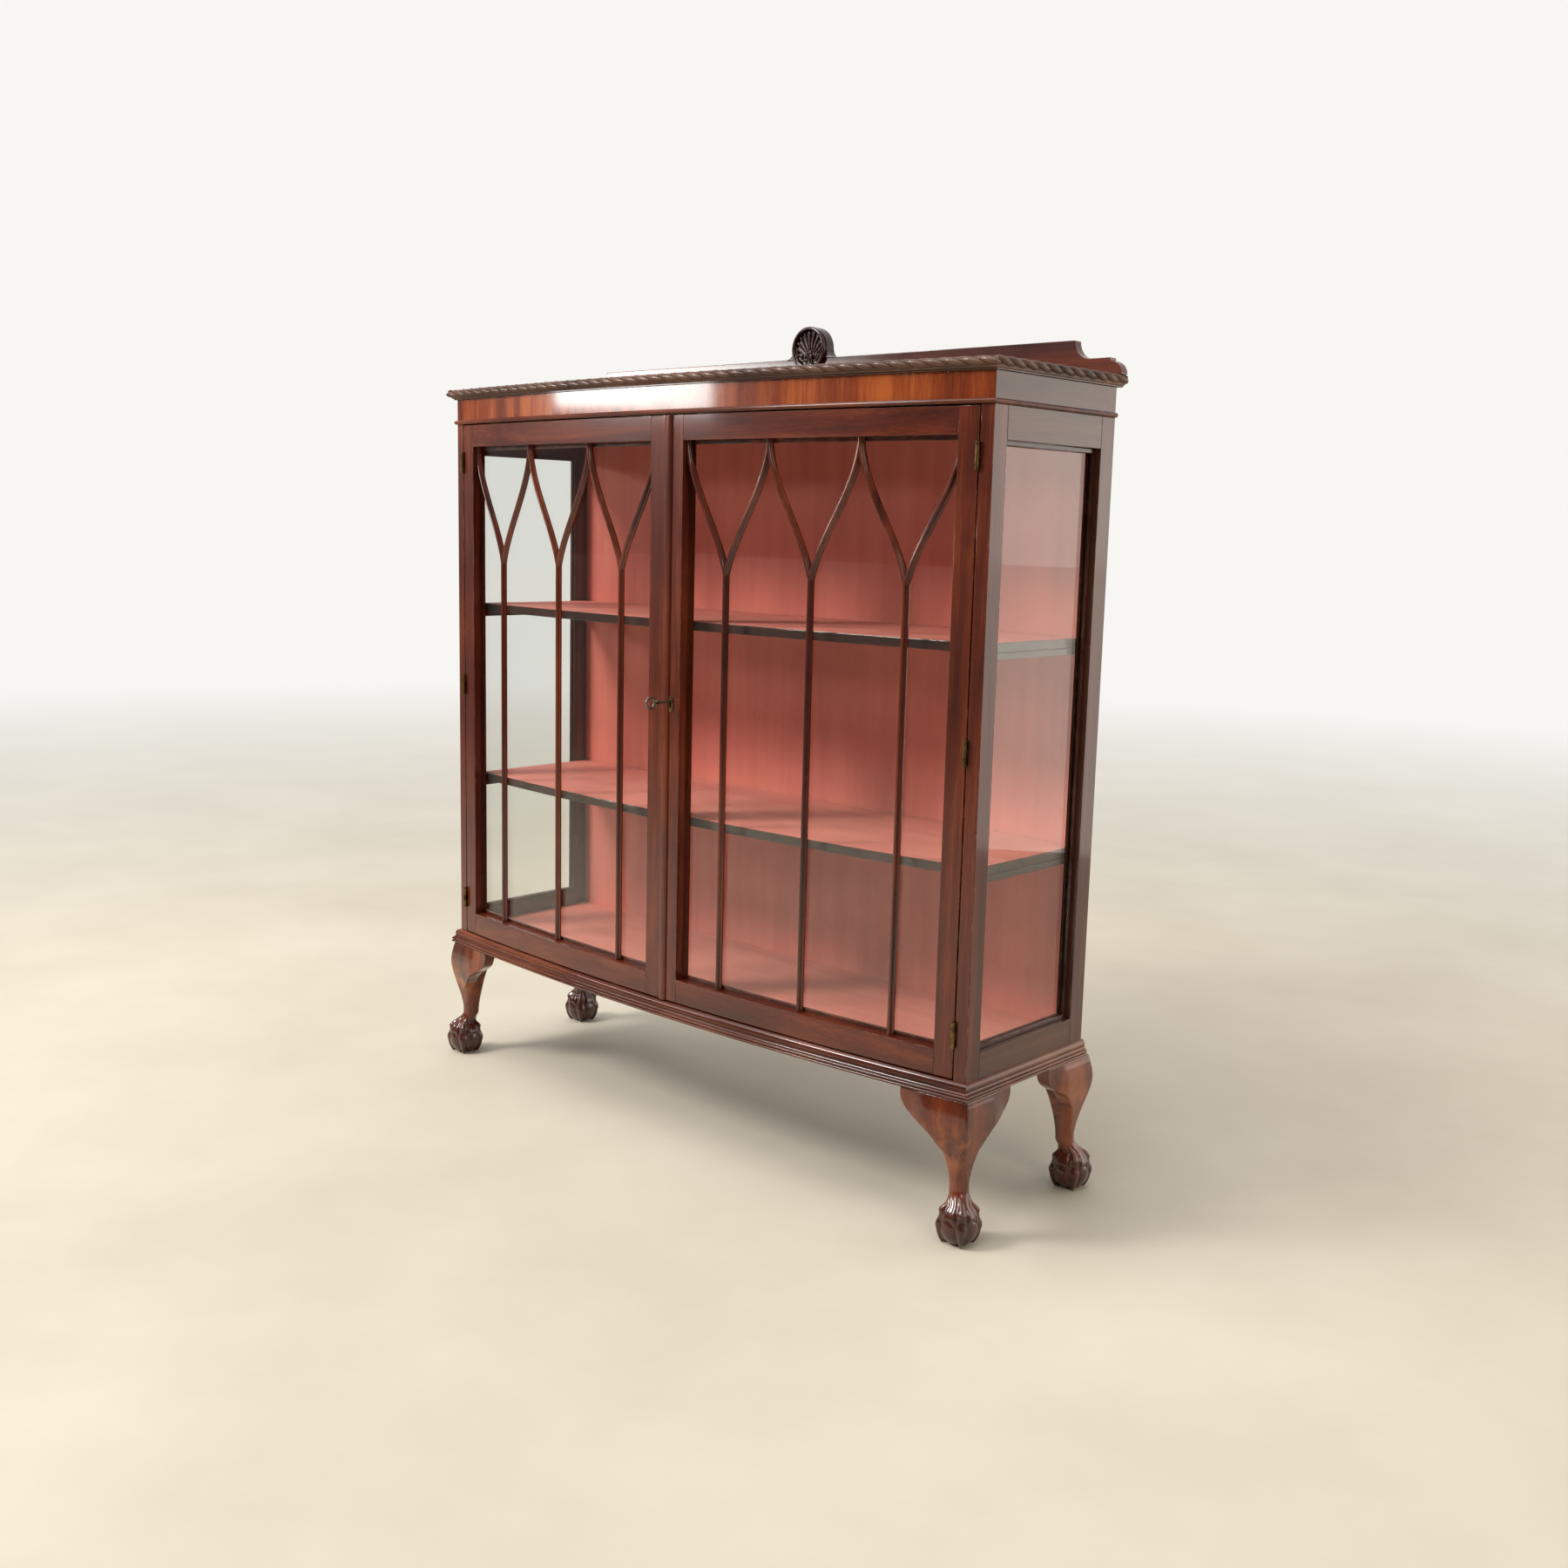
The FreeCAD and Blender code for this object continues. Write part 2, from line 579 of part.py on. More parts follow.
def base_moulding():
    """A quarter round over a hollow and two small reeds."""
    low = mm(BASE)
    high = mm(BASE_TOP)
    reach = mm(cell("base_mould_reach"))
    top_flat = mm(cell("base_mould_top"))
    round_high = mm(cell("base_round_height"))
    round_reach = mm(cell("base_round_reach"))
    reed_root = mm(cell("base_reed_root"))
    reed_high = mm(cell("base_reed_height"))
    round_low = high - round_high
    reed_top = round_low - mm(cell("base_hollow_height"))
    reed_low = reed_top - reed_high
    bulge = math.sqrt(0.5)
    sag = 1 - bulge
    corners = [
        V(0, 0, low), V(0, 0, high), V(top_flat, 0, high), V(round_reach, 0, round_low),
        V(reed_root, 0, reed_top), V(reed_root, 0, reed_low), V(reed_root, 0, low),
    ]
    round_mid = V(top_flat + (round_reach - top_flat) * bulge, 0, high - round_high * sag)
    hollow_x = round_reach + (reed_root - round_reach) * sag
    hollow_mid = V(hollow_x, 0, round_low - (round_low - reed_top) * bulge)
    upper_reed_mid = V(reach, 0, (reed_top + reed_low) / 2)
    lower_reed_mid = V(reach, 0, (reed_low + low) / 2)
    edges = [
        Part.LineSegment(corners[0], corners[1]),
        Part.LineSegment(corners[1], corners[2]),
        Part.Arc(corners[2], round_mid, corners[3]),
        Part.Arc(corners[3], hollow_mid, corners[4]),
        Part.Arc(corners[4], upper_reed_mid, corners[5]),
        Part.Arc(corners[5], lower_reed_mid, corners[6]),
        Part.LineSegment(corners[6], corners[0]),
    ]
    wire = Part.Wire([edge.toShape() for edge in edges])
    fixed(Part.makeCompound(list(mitred([Part.Face(wire)], DEPTH_MM))), "base_moulding")


frieze()
cock_bead()
rope_moulding()
base_moulding()

top_back = block("top_rail_back", f"({cell('frieze_depth')} - {HALF})", f"({HALF} - {cell('frieze_depth')})",
                 back_rail_y, DEPTH, OPENING_TOP, CASE_TOP)
finish(top_back, "top_rail_back")


GALLERY_BACK = f"({DEPTH} + {cell('rear_overhang')})"
GALLERY_FRONT = f"({GALLERY_BACK} - {cell('gallery_thickness')})"


def top_board():
    """Front edge parallel to the bow, sides parallel to the case, back against the gallery."""
    reach = mm(cell("board_overhang"))
    low = mm(CASE_TOP)
    tall = mm(cell("top_thickness"))
    back = mm(GALLERY_FRONT)
    plate = Part.makeBox(2 * (HALF_MM + reach), back + 4 * MITRE_REACH, tall,
                         V(-HALF_MM - reach, -4 * MITRE_REACH, low))
    drum = Part.makeCylinder(BOW_R + reach, tall, V(0, BOW_C, low))
    fixed(plate.common(drum), "top_board")


top_board()

GALLERY_END = f"({HALF} + {cell('gallery_reach')})"
ROUND_TOP = f"({BOARD_TOP} + {cell('gallery_round')})"
STEP_TOP = f"({ROUND_TOP} + {cell('gallery_drop')})"
STEP_END = f"({GALLERY_END} - {cell('gallery_round')})"
COVE_END = f"({STEP_END} - {cell('gallery_step')})"
COVE = f"({GALLERY_TOP} - {STEP_TOP})"
UPPER_END = f"({COVE_END} - {COVE})"


def gallery():
    """Upstand fixed behind the top board: quarter round, flat step and cove at each end."""
    turned = cell("gallery_round")
    foot = f"({HALF} + {cell('board_overhang')})"
    steps = [
        (sided(-1, foot), CASE_TOP),
        (foot, CASE_TOP),
        (foot, BOARD_TOP),
        (GALLERY_END, BOARD_TOP, turned, 1),
        (STEP_END, ROUND_TOP),
        (STEP_END, STEP_TOP),
        (COVE_END, STEP_TOP, COVE, -1),
        (UPPER_END, GALLERY_TOP),
        (sided(-1, UPPER_END), GALLERY_TOP, COVE, -1),
        (sided(-1, COVE_END), STEP_TOP),
        (sided(-1, STEP_END), STEP_TOP),
        (sided(-1, STEP_END), ROUND_TOP, turned, 1),
        (sided(-1, GALLERY_END), BOARD_TOP),
        (sided(-1, foot), BOARD_TOP),
    ]
    finish(padded("gallery_board", "front", steps, GALLERY_BACK, cell("gallery_thickness")), "gallery_board")


gallery()


def crest():
    """Round-headed tablet with coved shoulders, standing on the gallery, its foot hung in front."""
    radius = cell("crest_radius")
    flare = cell("crest_flare")
    shoulder = f"({GALLERY_TOP} + {flare})"
    steps = [
        (sided(-1, f"{radius} + {flare}"), GALLERY_TOP),
        (f"({radius} + {flare})", GALLERY_TOP, flare, -1),
        (radius, shoulder, radius, 1),
        ("0", f"({shoulder} + {radius})", radius, 1),
        (sided(-1, radius), shoulder, flare, -1),
    ]
    body = padded("shell_crest", "front", steps, GALLERY_BACK, cell("crest_thickness"))
    apron = cell("crest_apron")
    low = f"({GALLERY_TOP} - {apron})"
    foot = [
        (radius, GALLERY_TOP),
        (sided(-1, radius), GALLERY_TOP, apron, 1),
        (f"({apron} - {radius})", low),
        (f"({radius} - {apron})", low, apron, 1),
    ]
    sketch = outline(body, "shell_crest_foot", "front", foot, GALLERY_FRONT)
    pad = body.newObject("PartDesign::Pad", "shell_crest_foot_pad")
    pad.Profile = sketch
    pad.setExpression("Length", f"{cell('crest_thickness')} - {cell('gallery_thickness')}")
    body.Tip = pad
    finish(body, "shell_crest")


crest()

# ---------------------------------------------------------------- side lights


def side_light(name, side):
    """One pane between an outer moulded bead and an inner bead."""
    y0 = cell("front_post_depth")
    y1 = f"({DEPTH} - {cell('rear_post_depth')})"
    play = cell("glass_clearance")
    outer = f"({HALF} - {cell('side_glass_setback')})"
    inner = f"({outer} - {cell('glass_thickness')})"
    node = f"side_glass_{name}"
    pane = block(node, sided(side, inner), sided(side, outer), f"({y0} + {play})", f"({y1} - {play})",
                 f"({SIDE_LIGHT_BOTTOM} + {play})", f"({SIDE_LIGHT_TOP} - {play})")
    finish(pane, node)
    beads = []
    wide = cell("side_bead_width")
    runs = ((outer, f"({outer} + {cell('side_bead_depth')})"), (INNER, inner))
    for i, (x0, x1) in enumerate(runs):
        a = sided(side, x0)
        b = sided(side, x1)
        stem = f"side_bead_{name}_{i}"
        beads.append(block(f"{stem}_front", a, b, y0, f"({y0} + {wide})", SIDE_LIGHT_BOTTOM, SIDE_LIGHT_TOP))
        beads.append(block(f"{stem}_back", a, b, f"({y1} - {wide})", y1, SIDE_LIGHT_BOTTOM, SIDE_LIGHT_TOP))
        beads.append(block(f"{stem}_low", a, b, f"({y0} + {wide})", f"({y1} - {wide})",
                           SIDE_LIGHT_BOTTOM, f"({SIDE_LIGHT_BOTTOM} + {wide})"))
        beads.append(block(f"{stem}_high", a, b, f"({y0} + {wide})", f"({y1} - {wide})",
                           f"({SIDE_LIGHT_TOP} - {wide})", SIDE_LIGHT_TOP))
    return beads


side_beads = []
for side_name, side_sign in SIDES:
    side_beads += side_light(side_name, side_sign)
group("side_glazing_beads", side_beads)

# ---------------------------------------------------------------- shelves

SHELF_END = f"({INNER} - {cell('shelf_end_gap')})"
SHELVES = (("lower", cell("lower_shelf_top")), ("upper", cell("upper_shelf_top")))
SHELF_BACK = f"({BACK_FRONT} - {cell('shelf_end_gap')})"
for shelf_name, shelf_top in SHELVES:
    node = f"shelf_{shelf_name}"
    plan = bow_fronted_outline(sided(-1, SHELF_END), SHELF_END, cell("shelf_setback"), SHELF_BACK)
    underside = f"({shelf_top} - {cell('shelf_thickness')})"
    finish(padded(node, "plan", plan, underside, cell("shelf_thickness")), node)

cleats = []
for shelf_name, shelf_top in SHELVES:
    cleat_top = f"({shelf_top} - {cell('shelf_thickness')})"
    for side_name, side_sign in SIDES:
        cleats.append(block(
            f"cleat_{shelf_name}_{side_name}",
            sided(side_sign, f"{INNER} - {cell('cleat_width')}"), sided(side_sign, INNER),
            f"({bow_y(INNER, STOP_SETBACK)} + {cell('shelf_end_gap')})", SHELF_BACK,
            f"({cleat_top} - {cell('cleat_height')})", cleat_top))
group("shelf_cleats", cleats)

# ---------------------------------------------------------------- doors

RIGHT_INNER = f"({RIGHT_EDGE} + {cell('right_meeting_stile')})"
LEFT_INNER = f"({LEFT_EDGE} - {cell('left_meeting_stile')})"
STILE_INNER = f"({DOOR_EDGE} - {cell('hinge_stile')})"
LIGHT_BOTTOM = f"({DOOR_BOTTOM} + {cell('door_bottom_rail')})"
LIGHT_TOP = f"({DOOR_TOP} - {cell('door_top_rail')})"
THICK = cell("door_thickness")
LOCK_FRONT = f"({KEY_FACE} + {cell('lock_case_setback')})"
LOCK_BACK = f"({KEY_FACE} + {THICK} - {cell('lock_case_inset')})"
LOCK_LOW = f"({LOCK_Z} - {cell('lock_case_height')} / 2)"
LOCK_HIGH = f"({LOCK_Z} + {cell('lock_case_height')} / 2)"
LOCK_END = f"({RIGHT_EDGE} + {cell('lock_case_width')})"
PLAY = cell("moving_clearance")
BOLT_LOW = f"({LOCK_Z} + {cell('bolt_rise')} - {cell('bolt_height')} / 2)"
BOLT_HIGH = f"({LOCK_Z} + {cell('bolt_rise')} + {cell('bolt_height')} / 2)"
BOLT_FRONT = f"({LOCK_FRONT} + {cell('lock_wall')} + {PLAY})"
BOLT_BACK = f"({LOCK_BACK} - {cell('lock_wall')} - {PLAY})"


def keyhole(radius, slot_half, drop):
    """Outline of a keyhole: a round hole with a slot below it."""
    shoulder = f"({LOCK_Z} - sqrt(({radius})^2 - ({slot_half})^2))"
    return [
        (f"({LOCK_X} + {slot_half})", f"({LOCK_Z} - {drop})"),
        (f"({LOCK_X} + {slot_half})", shoulder, radius, 1),
        (LOCK_X, f"({LOCK_Z} + {radius})", radius, 1),
        (f"({LOCK_X} - {slot_half})", shoulder),
        (f"({LOCK_X} - {slot_half})", f"({LOCK_Z} - {drop})"),
    ]


KEY_HOLE = f"({cell('key_radius')} + {PLAY})"
SLOT_HALF = f"({cell('key_bit_thickness')} / 2 + {PLAY})"
SLOT_DROP = f"({cell('key_bit')} + {PLAY})"
THROUGH = cell("cut_through")


def hinge_stile(node, side):
    x0 = sided(side, STILE_INNER)
    x1 = sided(side, DOOR_EDGE)
    body = bowed(node, x0, x1, "0", THICK, DOOR_BOTTOM, DOOR_TOP) if side > 0 else \
        bowed(node, x1, x0, "0", THICK, DOOR_BOTTOM, DOOR_TOP)
    leaf_bed(body, side, f"({DOOR_EDGE} - {cell('leaf_thickness')})", DOOR_EDGE)
    finish(body, node)


def right_meeting_stile():
    node = "right_door_meeting_stile"
    body = bowed(node, RIGHT_EDGE, RIGHT_INNER, "0", THICK, DOOR_BOTTOM, DOOR_TOP)
    past = f"({LOCK_BACK} + {THROUGH})"
    bed = rectangle(RIGHT_EDGE, LOCK_END, LOCK_FRONT, past)
    pocket(body, f"{node}_lock_bed", "plan", bed, LOCK_LOW, cell("lock_case_height"))
    hole = keyhole(KEY_HOLE, SLOT_HALF, SLOT_DROP)
    hole_depth = f"({cell('lock_case_setback')} + {THROUGH})"
    pocket(body, f"{node}_keyhole", "front", hole, f"({LOCK_FRONT} + {PLAY})", hole_depth)
    finish(body, node)


def left_meeting_stile():
    node = "left_door_meeting_stile"
    body = bowed(node, LEFT_INNER, LEFT_EDGE, "0", THICK, DOOR_BOTTOM, DOOR_TOP)
    strike = rectangle(f"({LEFT_EDGE} - {cell('bolt_throw')})", LEFT_EDGE,
                       f"({BOLT_FRONT} - {PLAY})", f"({BOLT_BACK} + {PLAY})")
    pocket(body, f"{node}_strike", "plan", strike, f"({BOLT_LOW} - {PLAY})",
           f"({BOLT_HIGH} - {BOLT_LOW} + 2 * {PLAY})")
    reach = f"({cell('flush_bolt_length')} + {cell('door_gap')})"
    hole = round_outline(BOLT_X, BOLT_Y, BOLT_HOLE)
    pocket(body, f"{node}_top_bore", "plan", hole, f"({DOOR_TOP} - {reach})", reach)
    pocket(body, f"{node}_bottom_bore", "plan", hole, DOOR_BOTTOM, reach)
    slot_side = f"({cell('flush_bolt_radius')} + {PLAY} / 2)"
    slot = rectangle(f"({BOLT_X} - {slot_side})", f"({BOLT_X} + {slot_side})",
                     BOLT_Y, f"({BOLT_Y} + {THICK})")
    length = f"(2 * {BOLT_HOLE} + {cell('flush_bolt_throw')})"
    pocket(body, f"{node}_top_slot", "plan", slot, f"({KNOB_TOP} - {BOLT_HOLE})", length)
    pocket(body, f"{node}_bottom_slot", "plan", slot, f"({KNOB_BOTTOM} + {BOLT_HOLE} - {length})", length)
    finish(body, node)


KNOB_TOP = f"({DOOR_TOP} - {cell('flush_bolt_length')} / 2)"
KNOB_BOTTOM = f"({DOOR_BOTTOM} + {cell('flush_bolt_length')} / 2)"


def flush_bolt(node, z0, knob_z):
    """A rod with a small knob that stands behind the door."""
    rod = doc.addObject("Part::Cylinder", f"{node}_rod")
    rod.setExpression("Radius", cell("flush_bolt_radius"))
    rod.setExpression("Height", f"{cell('flush_bolt_length')} - {cell('moving_clearance')}")
    rod.setExpression("Placement.Base.x", BOLT_X)
    rod.setExpression("Placement.Base.y", BOLT_Y)
    rod.setExpression("Placement.Base.z", z0)
    knob = doc.addObject("Part::Cylinder", f"{node}_knob")
    knob.Placement = FreeCAD.Placement(V(0, 0, 0), FreeCAD.Rotation(V(1, 0, 0), -90))
    knob.setExpression("Radius", f"{cell('flush_bolt_radius')} - {PLAY}")
    knob.setExpression("Height", f"{THICK} / 2 + {cell('flush_knob_reach')}")
    knob.setExpression("Placement.Base.x", BOLT_X)
    knob.setExpression("Placement.Base.y", BOLT_Y)
    knob.setExpression("Placement.Base.z", knob_z)
    whole = doc.addObject("Part::Fuse", node)
    whole.Base = rod
    whole.Tool = knob
    finish(whole, node)


def door_light(door, x0, x1):
    """Pane, glazing beads and rails of one door between its stiles."""
    play = cell("glass_clearance")
    setback = cell("door_glass_setback")
    behind = f"({setback} + {cell('glass_thickness')})"
    node = f"{door}_door_glass"
    pane = bowed(node, f"({x0} + {play})", f"({x1} - {play})", setback, behind,
                 f"({LIGHT_BOTTOM} + {play})", f"({LIGHT_TOP} - {play})")
    finish(pane, node)
    wide = cell("door_bead_width")
    beads = [
        bowed(f"{door}_bead_0", x0, f"({x0} + {wide})", behind, THICK, LIGHT_BOTTOM, LIGHT_TOP),
        bowed(f"{door}_bead_1", f"({x1} - {wide})", x1, behind, THICK, LIGHT_BOTTOM, LIGHT_TOP),
        bowed(f"{door}_bead_2", f"({x0} + {wide})", f"({x1} - {wide})", behind, THICK,
              LIGHT_BOTTOM, f"({LIGHT_BOTTOM} + {wide})"),
        bowed(f"{door}_bead_3", f"({x0} + {wide})", f"({x1} - {wide})", behind, THICK,
              f"({LIGHT_TOP} - {wide})", LIGHT_TOP),
    ]
    group(f"{door}_door_glazing_beads", beads)
    low = bowed(f"{door}_door_bottom_rail", x0, x1, "0", THICK, DOOR_BOTTOM, LIGHT_BOTTOM)
    finish(low, f"{door}_door_bottom_rail")
    high = bowed(f"{door}_door_top_rail", x0, x1, "0", THICK, LIGHT_TOP, DOOR_TOP)
    finish(high, f"{door}_door_top_rail")


def swept_branch(x, z, lean, tall):
    """Flat outline of one curved branch of the forked bars, from its fork to the top rail."""
    half = mm(cell("bar_width")) / 2
    poles = [V(0, 0, 0), V(0.2 * lean, 0, tall / 3), V(0.983 * lean, 0, 2 * tall / 3), V(lean, 0, tall)]
    sides = []
    for sign in (-1, 1):
        moved = []
        for i, pole in enumerate(poles):
            along = poles[min(i + 1, 3)] - poles[max(i - 1, 0)]
            if i in (0, 3):
                along = V(0, 0, 1)
            across = V(along.z, 0, -along.x).normalize()
            moved.append(pole + across * (sign * half) + V(x, 0, z))
        sides.append(moved)
    curves = []
    for moved in sides:
        curve = Part.BezierCurve()
        curve.setPoles(moved)
        curves.append(curve)
    foot = Part.LineSegment(sides[0][0], sides[1][0])
    head = Part.LineSegment(sides[1][3], sides[0][3])
    return Part.Wire([foot.toShape(), curves[1].toShape(), head.toShape(), curves[0].toShape()])


def tracery(door, x0, x1):
    """Three upright bars, each forking into two branches that meet their neighbours at the top."""
    left = mm(x0)
    right = mm(x1)
    low = mm(LIGHT_BOTTOM)
    high = mm(LIGHT_TOP)
    drop = mm(cell("fork_drop"))
    half = mm(cell("bar_width")) / 2
    lean = (right - left) / 6
    deep = 4 * MITRE_REACH
    pieces = []
    for i in range(3):
        x = left + (2 * i + 1) * lean
        bar = polygon_face([V(x - half, 0, low), V(x + half, 0, low),
                            V(x + half, 0, high - drop), V(x - half, 0, high - drop)])
        pieces.append(bar)
        for sign in (-1, 1):
            pieces.append(Part.Face(swept_branch(x, high - drop, sign * lean, drop)))
    light = polygon_face([V(left, 0, low), V(right, 0, low), V(right, 0, high), V(left, 0, high)])
    flat = pieces[0].fuse(pieces[1:]).common(light).removeSplitter()
    solids = [face.extrude(V(0, -deep, 0)) for face in flat.Faces]
    tall = mm(OPENING_TOP)
    outer = Part.makeCylinder(BOW_R - mm(cell("bar_setback")), tall, V(0, BOW_C, 0))
    inner = Part.makeCylinder(BOW_R - mm(cell("door_glass_setback")), tall, V(0, BOW_C, 0))
    shell = outer.cut(inner)
    bars = []
    for solid in solids:
        solid.translate(V(0, deep / 2, 0))
        bars += solid.common(shell).Solids
    fixed(Part.makeCompound(bars), f"{door}_door_tracery")


def hinge_leaf(side, middle, own_middle, x0, x1):
    """One leaf of a butt hinge: the plate in its bed and its share of the knuckles."""
    tall = mm(cell("hinge_height"))
    low = mm(middle) - tall / 2
    axis_x = side * mm(HINGE_X)
    axis_y = mm(HINGE_Y)
    radius = mm(cell("knuckle_radius"))
    face_y = mm(bow_y(HINGE_X, 0))
    plate_x = min(side * x0, side * x1)
    plate_back = face_y + mm(cell("leaf_depth"))
    clear = axis_y + radius + mm(cell("knuckle_gap"))
    plate = Part.makeBox(abs(x1 - x0), plate_back - clear, tall, V(plate_x, clear, low))
    third = tall / 3
    gap = mm(cell("knuckle_gap")) / 2
    spans = [(low + third + gap, low + 2 * third - gap)] if own_middle else \
        [(low, low + third - gap), (low + 2 * third + gap, low + tall)]
    whole = plate
    for z0, z1 in spans:
        knuckle = Part.makeCylinder(radius, z1 - z0, V(axis_x, axis_y, z0))
        tab = Part.makeBox(abs(x1 - x0), clear - axis_y + 1, z1 - z0, V(plate_x, axis_y, z0))
        whole = whole.fuse(knuckle).fuse(tab)
    fit = 0 if own_middle else mm(cell("running_fit"))
    bore = Part.makeCylinder(mm(cell("pin_radius")) + fit, tall + 2, V(axis_x, axis_y, low - 1))
    return whole.cut(bore).removeSplitter()


def hinges():
    inner = mm(INNER)
    edge = mm(DOOR_EDGE)
    leaf = mm(cell("leaf_thickness"))
    tall = mm(cell("hinge_height"))
    post_leaves = []
    pins = []
    for name, side in SIDES:
        door_leaves = []
        for middle in HINGE_HEIGHTS:
            post_leaves.append(hinge_leaf(side, middle, True, inner, inner + leaf))
            door_leaves.append(hinge_leaf(side, middle, False, edge - leaf, edge))
            low = mm(middle) - tall / 2
            foot = V(side * mm(HINGE_X), mm(HINGE_Y), low)
            pins.append(Part.makeCylinder(mm(cell("pin_radius")), tall, foot))
        fixed(Part.makeCompound(door_leaves), f"{name}_door_hinge_leaves")
    fixed(Part.makeCompound(post_leaves), "post_hinge_leaves")
    fixed(Part.makeCompound(pins), "hinge_pins")


def astragal():
    """Half-round bead planted on the right door, along the gap between the doors."""
    proud = sided(-1, cell("astragal_reach"))
    far = f"({RIGHT_EDGE} + {cell('astragal_width')})"
    body = bowed("astragal", RIGHT_EDGE, far, proud, "0", DOOR_BOTTOM, DOOR_TOP)
    finish(body, "astragal")


def lock_case():
    """A thin metal box with a keyhole in front and a slot for the bolt in its edge."""
    node = "lock_case"
    wall = cell("lock_wall")
    case = rectangle(RIGHT_EDGE, LOCK_END, LOCK_FRONT, LOCK_BACK)
    body = padded(node, "plan", case, LOCK_LOW, cell("lock_case_height"))
    room = rectangle(f"({RIGHT_EDGE} + {wall})", f"({LOCK_END} - {wall})",
                     f"({LOCK_FRONT} + {wall})", f"({LOCK_BACK} - {wall})")
    room_height = f"({cell('lock_case_height')} - 2 * {wall})"
    pocket(body, f"{node}_room", "plan", room, f"({LOCK_LOW} + {wall})", room_height)
    slot = rectangle(RIGHT_EDGE, f"({RIGHT_EDGE} + 2 * {wall})",
                     f"({BOLT_FRONT} - {PLAY})", f"({BOLT_BACK} + {PLAY})")
    slot_height = f"({BOLT_HIGH} - {BOLT_LOW} + 2 * {PLAY})"
    pocket(body, f"{node}_slot", "plan", slot, f"({BOLT_LOW} - {PLAY})", slot_height)
    pocket(body, f"{node}_keyhole", "front", keyhole(KEY_HOLE, SLOT_HALF, SLOT_DROP),
           f"({LOCK_FRONT} + {wall} + {PLAY})", f"({wall} + {THROUGH})")
    finish(body, node)


def lock_bolt():
    x0 = f"({RIGHT_EDGE} + {PLAY})"
    x1 = f"({LOCK_END} - {cell('lock_wall')} - {PLAY})"
    finish(block("lock_bolt", x0, x1, BOLT_FRONT, BOLT_BACK, BOLT_LOW, BOLT_HIGH), "lock_bolt")


def escutcheon():
    """An oval plate round the keyhole, bent to the bow."""
    wide = mm(cell("escutcheon_width"))
    tall = mm(cell("escutcheon_height"))
    x = mm(LOCK_X)
    z = mm(LOCK_Z) - mm(cell("key_bit")) / 2
    oval = Part.Ellipse(V(x, 0, z + tall / 2), V(x + wide / 2, 0, z), V(x, 0, z))
    plate = Part.Face(Part.Wire(oval.toShape())).extrude(V(0, -4 * MITRE_REACH, 0))
    height = mm(GALLERY_TOP)
    outer = Part.makeCylinder(BOW_R + mm(cell("escutcheon_thickness")), height, V(0, BOW_C, 0))
    inner = Part.makeCylinder(BOW_R, height, V(0, BOW_C, 0))
    start = mm(RIGHT_EDGE) + mm(cell("astragal_width"))
    bead_corner = V(start - MITRE_REACH, -4 * MITRE_REACH, z - 2 * tall)
    bead_side = Part.makeBox(MITRE_REACH, 8 * MITRE_REACH, 4 * tall, bead_corner)
    hole = Part.makeCylinder(mm(KEY_HOLE), 8 * MITRE_REACH, V(x, 4 * MITRE_REACH, mm(LOCK_Z)), V(0, -1, 0))
    half = mm(SLOT_HALF)
    drop = mm(SLOT_DROP)
    slot = Part.makeBox(2 * half, 8 * MITRE_REACH, drop, V(x - half, -4 * MITRE_REACH, mm(LOCK_Z) - drop))
    plate = plate.common(outer.cut(inner)).cut(bead_side).cut(hole).cut(slot)
    fixed(plate.removeSplitter(), "escutcheon")


def key():
    """Shank, collar, bit and a round bow that stands upright."""
    x = mm(LOCK_X)
    z = mm(LOCK_Z)
    face = mm(KEY_FACE)
    radius = mm(cell("key_radius"))
    ring = mm(cell("key_ring"))
    wire = mm(cell("key_ring_wire"))
    inner_end = mm(BOLT_BACK)
    ring_y = face - mm(cell("key_reach")) + ring + wire
    shank = Part.makeCylinder(radius, inner_end - (ring_y + ring), V(x, inner_end, z), V(0, -1, 0))
    collar = Part.makeCylinder(1.6 * radius, 1.5 * radius, V(x, ring_y + ring + 3.5 * radius, z), V(0, -1, 0))
    bow = Part.makeTorus(ring, wire, V(x, ring_y, z), V(1, 0, 0))
    thick = mm(cell("key_bit_thickness"))
    long_bit = mm(BOLT_BACK) - mm(BOLT_FRONT)
    deep = mm(cell("key_bit"))
    bit = Part.makeBox(thick, long_bit, deep, V(x - thick / 2, inner_end - long_bit, z - deep))
    fixed(shank.fuse([collar, bow, bit]).removeSplitter(), "key")


hinge_stile("right_door_hinge_stile", 1)
hinge_stile("left_door_hinge_stile", -1)
right_meeting_stile()
left_meeting_stile()
door_light("right", RIGHT_INNER, STILE_INNER)
door_light("left", sided(-1, STILE_INNER), LEFT_INNER)
tracery("right", RIGHT_INNER, STILE_INNER)
tracery("left", sided(-1, STILE_INNER), LEFT_INNER)
hinges()
astragal()
lock_case()
lock_bolt()
escutcheon()
key()
flush_bolt("flush_bolt_top", f"({DOOR_TOP} - {cell('flush_bolt_length')})", KNOB_TOP)
flush_bolt("flush_bolt_bottom", f"({DOOR_BOTTOM} + {PLAY})", KNOB_BOTTOM)

# ---------------------------------------------------------------- legs


